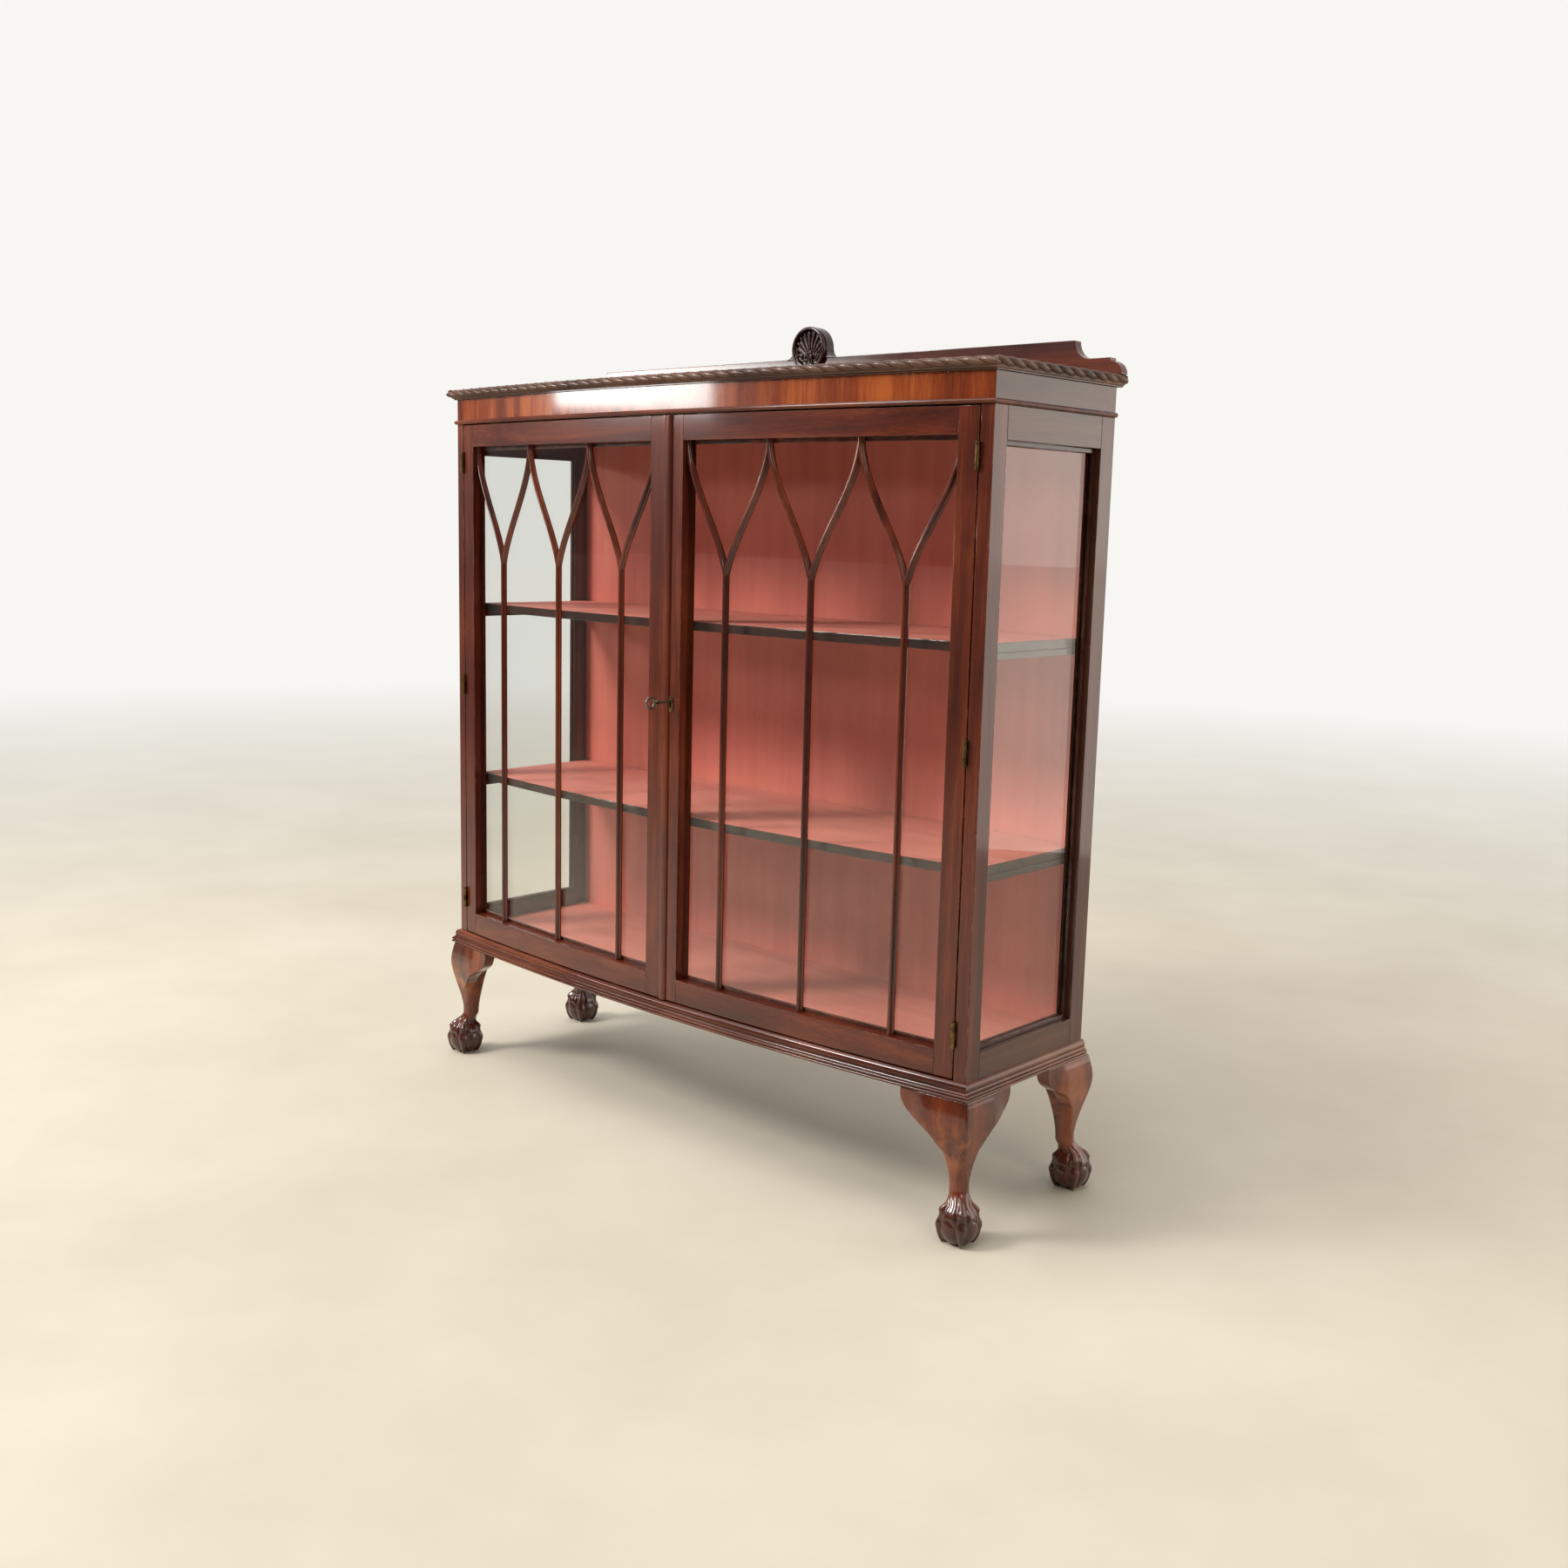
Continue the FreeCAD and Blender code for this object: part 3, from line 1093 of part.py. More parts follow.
def rounded_square(centre, half, corner, z):
    """A square with round corners, its middle this far inside the corner of the case."""
    x = -centre
    y = centre
    r = min(corner, half - 0.5)
    flat = half - r
    arcs = []
    for i in range(4):
        toward = math.radians(90 * i - 45)
        hub = V(x, y, z) + V(math.cos(toward), math.sin(toward), 0) * (math.sqrt(2) * flat)
        points = []
        for turn in (90 * i - 90, 90 * i - 45, 90 * i):
            angle = math.radians(turn)
            points.append(hub + V(math.cos(angle), math.sin(angle), 0) * r)
        arcs.append(Part.Arc(*points).toShape())
    edges = []
    for i in range(4):
        edges.append(arcs[i])
        end = arcs[i].Vertexes[-1].Point
        start = arcs[(i + 1) % 4].Vertexes[0].Point
        edges.append(Part.LineSegment(end, start).toShape())
    return Part.Wire(edges)


def cabriole_leg():
    """One leg with its corner at the origin, standing out towards +X and -Y."""
    top = mm(BASE)
    block_in = mm(cell("knee_block"))
    reach = mm(cell("knee_reach"))
    swell_in = mm(cell("knee_swell")) - reach
    ankle = mm(cell("ankle_radius"))
    ankle_in = mm(cell("ankle_inset"))
    ankle_z = mm(cell("ankle_height"))
    ball = mm(cell("ball_radius"))
    foot_in = mm(cell("foot_inset"))
    head_half = (block_in + reach) / 2
    head_centre = block_in - head_half
    fall = top - ankle_z
    sections = [
        # middle inside the corner, half width, corner radius, height
        rounded_square(head_centre, head_half, mm(cell("knee_arris")), top),
        rounded_square(head_centre - swell_in, head_half, mm(cell("knee_arris")), top - 0.18 * fall),
        rounded_square(0.6 * ankle_in, 1.5 * ankle, 0.3 * ankle, top - 0.32 * fall),
        rounded_square(0.55 * ankle_in, 1.3 * ankle, 0.45 * ankle, top - 0.55 * fall),
        rounded_square(0.85 * ankle_in, ankle, 0.65 * ankle, top - 0.8 * fall),
        rounded_square(ankle_in, 0.95 * ankle, 0.8 * ankle, ankle_z),
        rounded_square(0.6 * (ankle_in + foot_in), 1.1 * ankle, 0.95 * ankle, 0.75 * ankle_z),
        rounded_square(foot_in, 1.3 * ankle, 1.1 * ankle, ball),
    ]
    leg = Part.makeLoft(sections, True, False)
    centre = V(-foot_in, foot_in, 0.9 * ball)
    foot = Part.makeSphere(ball, centre)
    pieces = [foot]
    claw = mm(cell("claw_radius"))
    for i in range(4):
        ring = Part.makeTorus(ball - 0.1 * claw, claw, centre, V(1, 1, 0) if i % 2 == 0 else V(1, -1, 0))
        side = Part.makeBox(4 * ball, 4 * ball, 4 * ball, V(0, -2 * ball, -2 * ball))
        side.rotate(V(0, 0, 0), V(0, 0, 1), -45 + 90 * i)
        side.translate(centre)
        pieces.append(ring.common(side))
    keep = Part.makeBox(6 * ball, 6 * ball, 4 * ball, V(-3 * ball, -3 * ball, 0))
    foot = pieces[0].fuse(pieces[1:]).common(keep)
    return leg.fuse(foot).removeSplitter()


LEG_CORNERS = (
    ("front_right", HALF, "0", 0),
    ("back_right", HALF, DEPTH, 90),
    ("back_left", sided(-1, HALF), DEPTH, 180),
    ("front_left", sided(-1, HALF), "0", 270),
)


def stand(thing, shape, x, turn):
    """Turn a leg about its corner and set it at this x."""
    thing.Shape = shape
    thing.Placement = FreeCAD.Placement(V(0, 0, 0), FreeCAD.Rotation(V(0, 0, 1), turn))
    thing.setExpression("Placement.Base.x", x)
    return thing


def legs():
    """The four legs, and an unshifted form of each for fitting its brackets."""
    shape = cabriole_leg()
    forms = {}
    for corner, x, y, turn in LEG_CORNERS:
        node = f"leg_{corner}"
        finish(stand(doc.addObject("Part::Feature", node), shape, x, turn), node, y)
        form = stand(doc.addObject("Part::Feature", f"{node}_form"), shape, x, turn)
        form.setExpression("Placement.Base.y", y)
        forms[corner] = form
    return forms


def ear_outline(sign, corner):
    """Bracket under a rail, running from inside the leg: sign is the way it runs."""
    drop = cell("ear_drop")
    lip = cell("ear_lip")
    radius = f"({drop} - {lip})"
    near = f"({corner} + {sign} * {cell('ankle_inset')})"
    far = f"({corner} + {sign} * {cell('ear_reach')})"
    low = f"({BASE} - {drop})"
    return [
        (near, BASE),
        (far, BASE),
        (far, f"({BASE} - {lip})", radius, -sign),
        (f"({far} - {sign} * {radius})", low),
        (f"({corner} + {sign} * {cell('knee_block')})", low),
        (near, f"({BASE} - {cell('ear_root')})"),
    ]


def cut_to_leg(node, blank, form):
    ear = doc.addObject("Part::Cut", node)
    ear.Base = blank
    ear.Tool = form
    return ear


def side_ear(name, side, place, corner, sign, form):
    """A bracket along the side of the case, flush with the top of its leg."""
    outer = f"({HALF} + {cell('knee_reach')} - 1)"
    near = sided(side, outer) if side < 0 else f"({outer} - {cell('ear_thickness')})"
    stem = f"ear_{name}_{place}"
    blank = padded(f"{stem}_blank", "side", ear_outline(sign, corner), near, cell("ear_thickness"))
    return cut_to_leg(stem, blank, form)


def bow_ear(name, side, form):
    """A bracket along the bowed front."""
    proud = f"(1 - {cell('knee_reach')})"
    inside = f"({cell('ear_thickness')} + {proud})"
    stem = f"ear_{name}_bow"
    steps = ear_outline(-side, sided(side, HALF))
    flat = padded(f"{stem}_flat", "front", steps, f"({bow_y(INNER, 0)} + {cell('ear_thickness')})",
                  f"(3 * {cell('ear_thickness')})")
    ends = sorted([sided(side, f"{HALF} - {cell('ear_reach')}"), sided(side, HALF)], key=mm)
    strip = bowed(f"{stem}_strip", ends[0], ends[1], proud, inside, f"({BASE} - {cell('ear_root')})", BASE)
    blank = doc.addObject("Part::Common", f"{stem}_blank")
    blank.Base = flat
    blank.Tool = strip
    return cut_to_leg(stem, blank, form)


def knee_brackets(forms):
    """Brackets beside the legs: along the front on the front pair, along the sides on all four."""
    ears = []
    for name, side in SIDES:
        ears.append(side_ear(name, side, "front", "0", 1, forms[f"front_{name}"]))
        ears.append(side_ear(name, side, "back", DEPTH, -1, forms[f"back_{name}"]))
        ears.append(bow_ear(name, side, forms[f"front_{name}"]))
    group("knee_brackets", ears)


knee_brackets(legs())

# ---------------------------------------------------------------- checks and files

doc.recompute()
for thing in doc.Objects:
    for word in ("Invalid", "Error"):
        if word in thing.State:
            raise RuntimeError(f"{thing.Name} ({thing.Label}) is {thing.State}")
for thing in SUBPARTS:
    shape = thing.Shape
    if shape.isNull() or not shape.isValid() or not shape.Solids:
        raise RuntimeError(f"{thing.Label} has no valid solid")
    if len(thing.Label) >= 60:
        raise RuntimeError(f"{thing.Label} is too long a name")

os.makedirs("parts", exist_ok=True)
for thing in SUBPARTS:
    thing.Shape.exportStep(f"parts/{thing.Label}.step")
print(len(SUBPARTS), "sub-parts written")
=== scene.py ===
import json
import math

import bmesh
import bpy
from mathutils import Matrix, Vector


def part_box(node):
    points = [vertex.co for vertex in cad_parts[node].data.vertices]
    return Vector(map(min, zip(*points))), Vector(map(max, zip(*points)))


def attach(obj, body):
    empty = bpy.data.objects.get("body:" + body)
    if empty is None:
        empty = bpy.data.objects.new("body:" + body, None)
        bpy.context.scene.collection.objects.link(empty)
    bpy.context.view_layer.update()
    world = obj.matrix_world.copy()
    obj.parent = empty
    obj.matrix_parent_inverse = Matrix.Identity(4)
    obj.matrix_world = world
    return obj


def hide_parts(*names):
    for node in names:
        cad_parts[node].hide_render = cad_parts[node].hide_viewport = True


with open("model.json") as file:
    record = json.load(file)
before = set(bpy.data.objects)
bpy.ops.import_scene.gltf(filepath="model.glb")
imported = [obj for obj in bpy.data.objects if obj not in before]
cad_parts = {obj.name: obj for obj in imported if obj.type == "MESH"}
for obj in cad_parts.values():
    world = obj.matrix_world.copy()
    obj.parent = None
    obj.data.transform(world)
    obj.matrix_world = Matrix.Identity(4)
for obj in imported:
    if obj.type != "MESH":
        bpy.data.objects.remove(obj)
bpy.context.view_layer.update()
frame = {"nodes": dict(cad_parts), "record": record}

# Bow-fronted mahogany china cabinet. Metres, floor at z = 0, the front looks along -Y.
# Lengths written with MM are millimetres.

MM = 0.001
BODY_OF = {node: body for body, nodes in frame["record"]["behaviour"]["bodies"].items() for node in nodes}

# ---------------------------------------------------------------- places read from the case

FRIEZE_LOW, FRIEZE_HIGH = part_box("frieze_front")
CORNER_X = FRIEZE_HIGH.x
CORNER_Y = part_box("frieze_right")[0].y
REAR_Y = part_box("frieze_right")[1].y
BOW_RISE = CORNER_Y - FRIEZE_LOW.y
BOW_RADIUS = (CORNER_X ** 2 + BOW_RISE ** 2) / (2 * BOW_RISE)
BOW_CENTRE = CORNER_Y - BOW_RISE + BOW_RADIUS
BOW_ANGLE = math.asin(CORNER_X / BOW_RADIUS)
CASE_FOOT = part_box("base_moulding")[0].z
CASE_TOP = FRIEZE_HIGH.z


def bow_point(x, z, proud=0.0):
    """A point on the bowed front, standing out by proud."""
    return Vector((x, BOW_CENTRE - math.sqrt((BOW_RADIUS + proud) ** 2 - x * x), z))


# ---------------------------------------------------------------- camera, light and floor

EYE = (1.861, -1.892, 1.003)
ROOM_COLOUR = (0.93, 0.92, 0.89, 1)
DAYLIGHT = (1.0, 0.98, 0.95)
WARM_WALL = (1.0, 0.90, 0.80)
WARM_SIDE = (1.0, 0.87, 0.74)


def camera():
    """Eye level a little under the top, looking past the right front corner."""
    yaw = math.radians(42.57)
    pitch = math.radians(9.06)
    roll = math.radians(1.40)
    ahead = Vector((-math.sin(yaw) * math.cos(pitch), math.cos(yaw) * math.cos(pitch), -math.sin(pitch)))
    level = Vector((math.cos(yaw), math.sin(yaw), 0))
    upright = level.cross(ahead)
    right = level * math.cos(roll) + upright * math.sin(roll)
    up = upright * math.cos(roll) - level * math.sin(roll)
    lens = bpy.data.cameras.new("camera")
    lens.lens = 37.0
    lens.sensor_width = 36.0
    lens.clip_end = 200.0
    eye = bpy.data.objects.new("camera", lens)
    turn = Matrix((right, up, -ahead)).transposed().to_4x4()
    eye.matrix_world = Matrix.Translation(EYE) @ turn
    bpy.context.scene.collection.objects.link(eye)
    bpy.context.scene.camera = eye


def soft_box(name, place, target, size, power, tint=DAYLIGHT, tall=None, spread=180):
    """A lamp behind cloth: round, or a strip where tall is given. A small spread narrows its beam."""
    light = bpy.data.lights.new(name, "AREA")
    light.shape = "DISK" if tall is None else "RECTANGLE"
    light.size = size
    if tall is not None:
        light.size_y = tall
    light.spread = math.radians(spread)
    light.energy = power
    light.color = tint
    lamp = bpy.data.objects.new(name, light)
    aim = Vector(target) - Vector(place)
    lamp.visible_camera = False
    lamp.matrix_world = Matrix.Translation(place) @ aim.to_track_quat("-Z", "Y").to_matrix().to_4x4()
    bpy.context.scene.collection.objects.link(lamp)


def studio():
    """Pale room light, brighter behind the cabinet than in front of it."""
    world = bpy.data.worlds.new("studio")
    world.use_nodes = True
    nodes = world.node_tree.nodes
    links = world.node_tree.links
    air = nodes["Background"]
    seen = nodes.new("ShaderNodeBackground")
    seen.inputs["Color"].default_value = ROOM_COLOUR
    seen.inputs["Strength"].default_value = 1.0
    way = nodes.new("ShaderNodeSeparateXYZ")
    links.new(nodes.new("ShaderNodeTexCoord").outputs["Generated"], way.inputs[0])
    shade = nodes.new("ShaderNodeMapRange")
    shade.inputs["From Min"].default_value = -0.7
    shade.inputs["From Max"].default_value = 0.7
    shade.inputs["To Min"].default_value = 0.05
    shade.inputs["To Max"].default_value = 0.85
    links.new(way.outputs["Y"], shade.inputs["Value"])
    air.inputs["Color"].default_value = (*DAYLIGHT, 1)
    links.new(shade.outputs["Result"], air.inputs["Strength"])
    pick = nodes.new("ShaderNodeMixShader")
    links.new(nodes.new("ShaderNodeLightPath").outputs["Is Camera Ray"], pick.inputs["Fac"])
    links.new(air.outputs[0], pick.inputs[1])
    links.new(seen.outputs[0], pick.inputs[2])
    links.new(pick.outputs[0], nodes["World Output"].inputs["Surface"])
    bpy.context.scene.world = world
    high = bpy.data.lights.new("ceiling_light", "SUN")
    high.energy = 2.1
    high.angle = math.radians(55)
    high.color = (1.0, 0.985, 0.96)
    lamp = bpy.data.objects.new("ceiling_light", high)
    lamp.matrix_world = Vector((0.28, 0.42, -1.0)).to_track_quat("-Z", "Y").to_matrix().to_4x4()
    bpy.context.scene.collection.objects.link(lamp)
    soft_box("front_light", (-2.0, -3.0, 3.3), (0, 0, 0.7), 1.2, 142)
    soft_box("side_light", (2.9, -0.9, 2.2), (0.3, 0, 0.6), 1.2, 17, WARM_SIDE)
    soft_box("window_light", (-2.40, -2.09, 1.49), (-0.08, -0.18, 1.19), 1.0, 8, tall=0.20, spread=130)
    soft_box("far_light", (2.1, 2.3, 0.9), (0.6, 0, 0.7), 1.9, 8, WARM_WALL, spread=130)
    bpy.context.scene.view_settings.view_transform = "Standard"


# ---------------------------------------------------------------- finishes

class Finish:
    """A material under construction, with short ways to add its nodes."""

    def __init__(self, name):
        self.material = bpy.data.materials.new(name)
        self.material.use_nodes = True
        self.nodes = self.material.node_tree.nodes
        self.surface = self.nodes["Principled BSDF"]
        self.place = self.nodes.new("ShaderNodeTexCoord").outputs["Object"]

    def join(self, source, target):
        self.material.node_tree.links.new(source, target)

    def feed(self, socket, value):
        """Joins another node's result to a socket, or sets it to a number, a vector or a colour."""
        if isinstance(value, bpy.types.NodeSocket):
            self.join(value, socket)
        elif socket.type == "RGBA":
            socket.default_value = (*value, 1)
        else:
            socket.default_value = value

    def put(self, kind, result, **values):
        """A node with its named sockets fed."""
        node = self.nodes.new(kind)
        for label, value in values.items():
            self.feed(node.inputs[label.replace("_", " ")], value)
        return node.outputs[result]

    def stretched(self, scale):
        return self.put("ShaderNodeMapping", "Vector", Vector=self.place, Scale=scale)

    def noise(self, vector, scale, detail=3.0, roughness=0.5, distortion=0.0):
        return self.put("ShaderNodeTexNoise", "Fac", Vector=vector, Scale=scale, Detail=detail,
                        Roughness=roughness, Distortion=distortion)

    def span(self, value, low, high, to_low=0.0, to_high=1.0):
        return self.put("ShaderNodeMapRange", "Result", Value=value, From_Min=low, From_Max=high,
                        To_Min=to_low, To_Max=to_high)

    def reckon(self, kind, first, second):
        node = self.nodes.new("ShaderNodeMath")
        node.operation = kind
        self.feed(node.inputs[0], first)
        self.feed(node.inputs[1], second)
        return node.outputs[0]

    def times(self, first, second):
        return self.reckon("MULTIPLY", first, second)

    def shares(self, *parts):
        """Several patterns added up, each with its own share."""
        whole = None
        for pattern, share in parts:
            part = self.times(pattern, share)
            whole = part if whole is None else self.reckon("ADD", whole, part)
        return whole

    def ramp(self, value, stops):
        node = self.nodes.new("ShaderNodeValToRGB")
        bar = node.color_ramp.elements
        while len(bar) < len(stops):
            bar.new(0.5)
        for element, (place, colour) in zip(bar, stops):
            element.position = place
            element.color = (*colour, 1)
        self.join(value, node.inputs[0])
        return node.outputs["Color"]

    def blend(self, factor, first, second):
        """The first colour where the factor is 0, the second where it is 1."""
        node = self.nodes.new("ShaderNodeMix")
        node.data_type = "RGBA"
        sockets = [node.inputs[0]] + [socket for socket in node.inputs if socket.type == "RGBA"]
        for socket, value in zip(sockets, (factor, first, second)):
            self.feed(socket, value)
        return next(socket for socket in node.outputs if socket.type == "RGBA")

    def bump(self, height, strength, depth):
        bump = self.nodes.new("ShaderNodeBump")
        bump.inputs["Strength"].default_value = strength
        bump.inputs["Distance"].default_value = depth
        self.join(height, bump.inputs["Height"])
        self.join(bump.outputs["Normal"], self.surface.inputs["Normal"])

    def height(self):
        way = self.nodes.new("ShaderNodeSeparateXYZ")
        self.join(self.place, way.inputs[0])
        return way.outputs["Z"]

    def ridges(self, low, high):
        """1 on proud edges, 0 on flats and in hollows."""
        return self.span(self.nodes.new("ShaderNodeNewGeometry").outputs["Pointiness"], low, high)


def along(axis, fine, coarse):
    """Pattern scale that is coarse along the grain and fine across it."""
    return tuple(coarse if letter == axis else fine for letter in "xyz")


def polished(finish, rough, coat):
    """Old shellac polish: a clear skin over the wood."""
    finish.surface.inputs["Coat Weight"].default_value = coat
    finish.surface.inputs["Coat Roughness"].default_value = 0.08
    finish.surface.inputs["Specular IOR Level"].default_value = 0.16
    finish.join(rough, finish.surface.inputs["Roughness"])


# The first colour is polish rubbed off; on carved ridges it also serves as a painted highlight.
RUBBED_AND_HIGHLIGHT = (0.26, 0.125, 0.065)
CHIPPED = (0.50, 0.38, 0.27)
WORN_KNEE = (0.40, 0.105, 0.024)
# The colour that the feet are darkened to towards the floor.
FOOT_DARK_TONE = (0.030, 0.0085, 0.0060)


def knee_wear_and_dark_feet(finish, colour):
    """A worn orange knee, and feet darker towards the floor."""
    up = finish.height()
    knee = finish.times(finish.span(up, 0.095, 0.135), finish.span(up, 0.185, 0.150))
    worn = finish.times(knee, finish.span(finish.noise(finish.place, 24.0, 4.0, 0.6), 0.44, 0.60))
    colour = finish.blend(finish.times(worn, 0.8), colour, WORN_KNEE)
    # The feet are darker towards the floor.
    return finish.blend(finish.span(up, 0.078, 0.045, 0.0, 0.72), colour, FOOT_DARK_TONE)


def carving_shade_highlight_and_rub(finish, colour, groove_shade_tone, cloud):
    """Painted shade in the hollows of a carving, and on its ridges a lighter colour that is partly polish
    rubbed off and partly painted highlight.
    """
    colour = finish.blend(finish.ridges(0.44, 0.50), tuple(part * 0.35 for part in groove_shade_tone), colour)
    proud = finish.times(finish.ridges(0.51, 0.57), finish.span(cloud, 0.42, 0.62))
    return finish.blend(finish.times(proud, 0.5), colour, RUBBED_AND_HIGHLIGHT)


def timber(name, tones, grain="z", gloss=0.30, coat=0.80, rubbed=0.0, chips=0.0, ridged=False, legs=False):
    """Polished mahogany: broad figure, fine pores, cloudy polish, rubbed patches and small chips."""
    finish = Finish(name)
    broad = finish.noise(finish.stretched(along(grain, 26, 1.6)), 1.0, 4.0, 0.55, 0.7)
    pores = finish.noise(finish.stretched(along(grain, 620, 16)), 1.0, 3.0, 0.6)
    cloud = finish.noise(finish.place, 5.5, 4.0, 0.55)
    dark, middle, light = tones
    figure = finish.shares((broad, 0.50), (pores, 0.24), (cloud, 0.26))
    colour = finish.ramp(figure, [(0.36, dark), (0.50, middle), (0.64, light)])
    if legs:
        colour = knee_wear_and_dark_feet(finish, colour)
    # Carved pieces get painted shade in their hollows, and a painted highlight mixed with rubbed polish on
    # their ridges.
    if ridged:
        colour = carving_shade_highlight_and_rub(finish, colour, dark, cloud)
    if rubbed:
        grit = finish.noise(finish.place, 46.0, 6.0, 0.62)
        colour = finish.blend(finish.times(finish.span(grit, 0.50, 0.62), rubbed), colour, RUBBED_AND_HIGHLIGHT)
    if chips:
        fleck = finish.span(finish.noise(finish.place, 260.0, 3.0, 0.7), 0.655, 0.70)
        colour = finish.blend(finish.times(fleck, chips), colour, CHIPPED)
    finish.join(colour, finish.surface.inputs["Base Color"])
    polished(finish, finish.span(cloud, 0.3, 0.7, gloss, gloss + 0.16), coat)
    finish.bump(pores, 0.10, 0.25 * MM)
    return finish.material


RED_TONES = ((0.026, 0.0045, 0.0026), (0.092, 0.0145, 0.0050), (0.200, 0.0400, 0.0110))
DARK_TONES = ((0.016, 0.0050, 0.0036), (0.042, 0.0105, 0.0065), (0.085, 0.0235, 0.0120))
LEG_TONES = ((0.036, 0.0070, 0.0034), (0.115, 0.0210, 0.0066), (0.270, 0.0620, 0.0150))
FLAME_TONES = ((0.090, 0.0135, 0.0040), (0.230, 0.0430, 0.0110), (0.420, 0.1050, 0.0270))
MOULD_TONES = ((0.032, 0.0062, 0.0032), (0.090, 0.0165, 0.0060), (0.200, 0.0460, 0.0140))
FADED_TONES = ((0.030, 0.0110, 0.0075), (0.078, 0.0260, 0.0160), (0.135, 0.0500, 0.0300))
ROPE_TONES = ((0.030, 0.0130, 0.0085), (0.085, 0.0380, 0.0250), (0.160, 0.0800, 0.0550))
BACK_TONES = ((0.055, 0.0240, 0.0130), (0.115, 0.0520, 0.0270), (0.180, 0.0900, 0.0480))

RED = {axis: timber(f"red_mahogany_{axis}", RED_TONES, axis) for axis in "xyz"}
DARK = {axis: timber(f"dark_mahogany_{axis}", DARK_TONES, axis) for axis in "xyz"}
FADED = {axis: timber(f"faded_mahogany_{axis}", FADED_TONES, axis) for axis in "yz"}
PLAIN_BACK = timber("plain_back_boards", BACK_TONES, "z", 0.55, 0.05)
ROPE_WOOD = timber("rope_mahogany", ROPE_TONES, "x", 0.34, 0.35, ridged=True)
RUBBED_RED = timber("rubbed_red_arris", RED_TONES, "x", 0.36, 0.5, rubbed=0.55, chips=0.4)
RUBBED_DARK = timber("rubbed_dark_arris", DARK_TONES, "x", 0.36, 0.5, rubbed=0.5, chips=0.3)
CARVED = timber("carved_dark_mahogany", DARK_TONES, "x", 0.28, 0.7, ridged=True)
LEG_WOOD = timber("worn_leg_mahogany", LEG_TONES, "z", 0.24, 0.9, ridged=True, legs=True)
MOULDED = timber("base_moulding_mahogany", MOULD_TONES, "x", 0.26, 0.6, ridged=True)
BEADED = timber("bead_mahogany", MOULD_TONES, "x", 0.30, 0.4)
BAR_WOOD = timber("glazing_bar_mahogany", RED_TONES, "z", 0.22, 1.0)


def crossband():
    """Frieze veneer with its grain upright, in stripes from leaf to leaf, chipped along its top."""
    finish = Finish("frieze_crossband")
    stripe = finish.noise(finish.stretched((34, 3, 2.2)), 1.0, 5.0, 0.6, 0.5)
    leaf = finish.noise(finish.stretched((7.5, 1, 0.6)), 1.0, 1.0, 0.5)
    pores = finish.noise(finish.stretched((600, 60, 30)), 1.0, 3.0, 0.6)
    dark, middle, light = FLAME_TONES
    figure = finish.shares((stripe, 0.50), (leaf, 0.32), (pores, 0.18))
    colour = finish.ramp(figure, [(0.38, dark), (0.49, middle), (0.60, light)])
    fleck = finish.span(finish.noise(finish.place, 210.0, 3.0, 0.7), 0.60, 0.66)
    edge = finish.span(finish.height(), CASE_TOP - 5 * MM, CASE_TOP)
    colour = finish.blend(finish.times(fleck, edge), colour, CHIPPED)
    finish.join(colour, finish.surface.inputs["Base Color"])
    cloud = finish.noise(finish.place, 7.0, 4.0, 0.55)
    polished(finish, finish.span(cloud, 0.3, 0.7, 0.20, 0.34), 0.7)
    finish.bump(pores, 0.08, 0.2 * MM)
    return finish.material


def lining(name, pale, deep, streak):
    """Painted lining of the inside, rubbed and a little stained."""
    finish = Finish(name)
    cloud = finish.noise(finish.place, 4.0, 5.0, 0.6)
    runs = finish.noise(finish.stretched(streak), 1.0, 4.0, 0.6)
    grit = finish.noise(finish.place, 120.0, 4.0, 0.6)
    colour = finish.ramp(finish.shares((cloud, 0.6), (runs, 0.4)), [(0.36, deep), (0.60, pale)])
    stain = tuple(0.55 * part for part in deep)
    colour = finish.blend(finish.span(grit, 0.60, 0.80, 0.0, 0.25), colour, stain)
    finish.join(colour, finish.surface.inputs["Base Color"])
    finish.join(finish.span(cloud, 0.3, 0.7, 0.55, 0.75), finish.surface.inputs["Roughness"])
    finish.bump(grit, 0.12, 0.3 * MM)
    return finish.material


def window_glass():
    """Old drawn glass, nearly clear, with its mirror image stronger at a glance."""
    finish = Finish("window_glass")
    nodes = finish.nodes
    clear = nodes.new("ShaderNodeBsdfTransparent")
    clear.inputs["Color"].default_value = (0.965, 0.975, 0.965, 1)
    shine = nodes.new("ShaderNodeBsdfGlossy")
    shine.inputs["Color"].default_value = (0.95, 0.97, 0.96, 1)
    shine.inputs["Roughness"].default_value = 0.012
    glance = nodes.new("ShaderNodeLayerWeight").outputs["Facing"]
    mirror = finish.span(finish.reckon("POWER", glance, 5.0), 0.0, 1.0, 0.045, 0.95)
    mix = nodes.new("ShaderNodeMixShader")
    finish.join(mirror, mix.inputs["Fac"])
    finish.join(clear.outputs[0], mix.inputs[1])
    finish.join(shine.outputs[0], mix.inputs[2])
    finish.join(mix.outputs[0], nodes["Material Output"].inputs["Surface"])
    nodes.remove(finish.surface)
    return finish.material


def metal(name, bright, tarnish, rough):
    """Old metal, dull and rougher where it has tarnished."""
    finish = Finish(name)
    cloud = finish.noise(finish.place, 90.0, 5.0, 0.65)
    colour = finish.ramp(cloud, [(0.38, tarnish), (0.62, bright)])
    finish.join(colour, finish.surface.inputs["Base Color"])
    finish.surface.inputs["Metallic"].default_value = 1.0
    finish.join(finish.span(cloud, 0.3, 0.7, rough + 0.2, rough), finish.surface.inputs["Roughness"])
    finish.bump(finish.noise(finish.place, 700.0, 3.0, 0.6), 0.08, 0.1 * MM)
    return finish.material


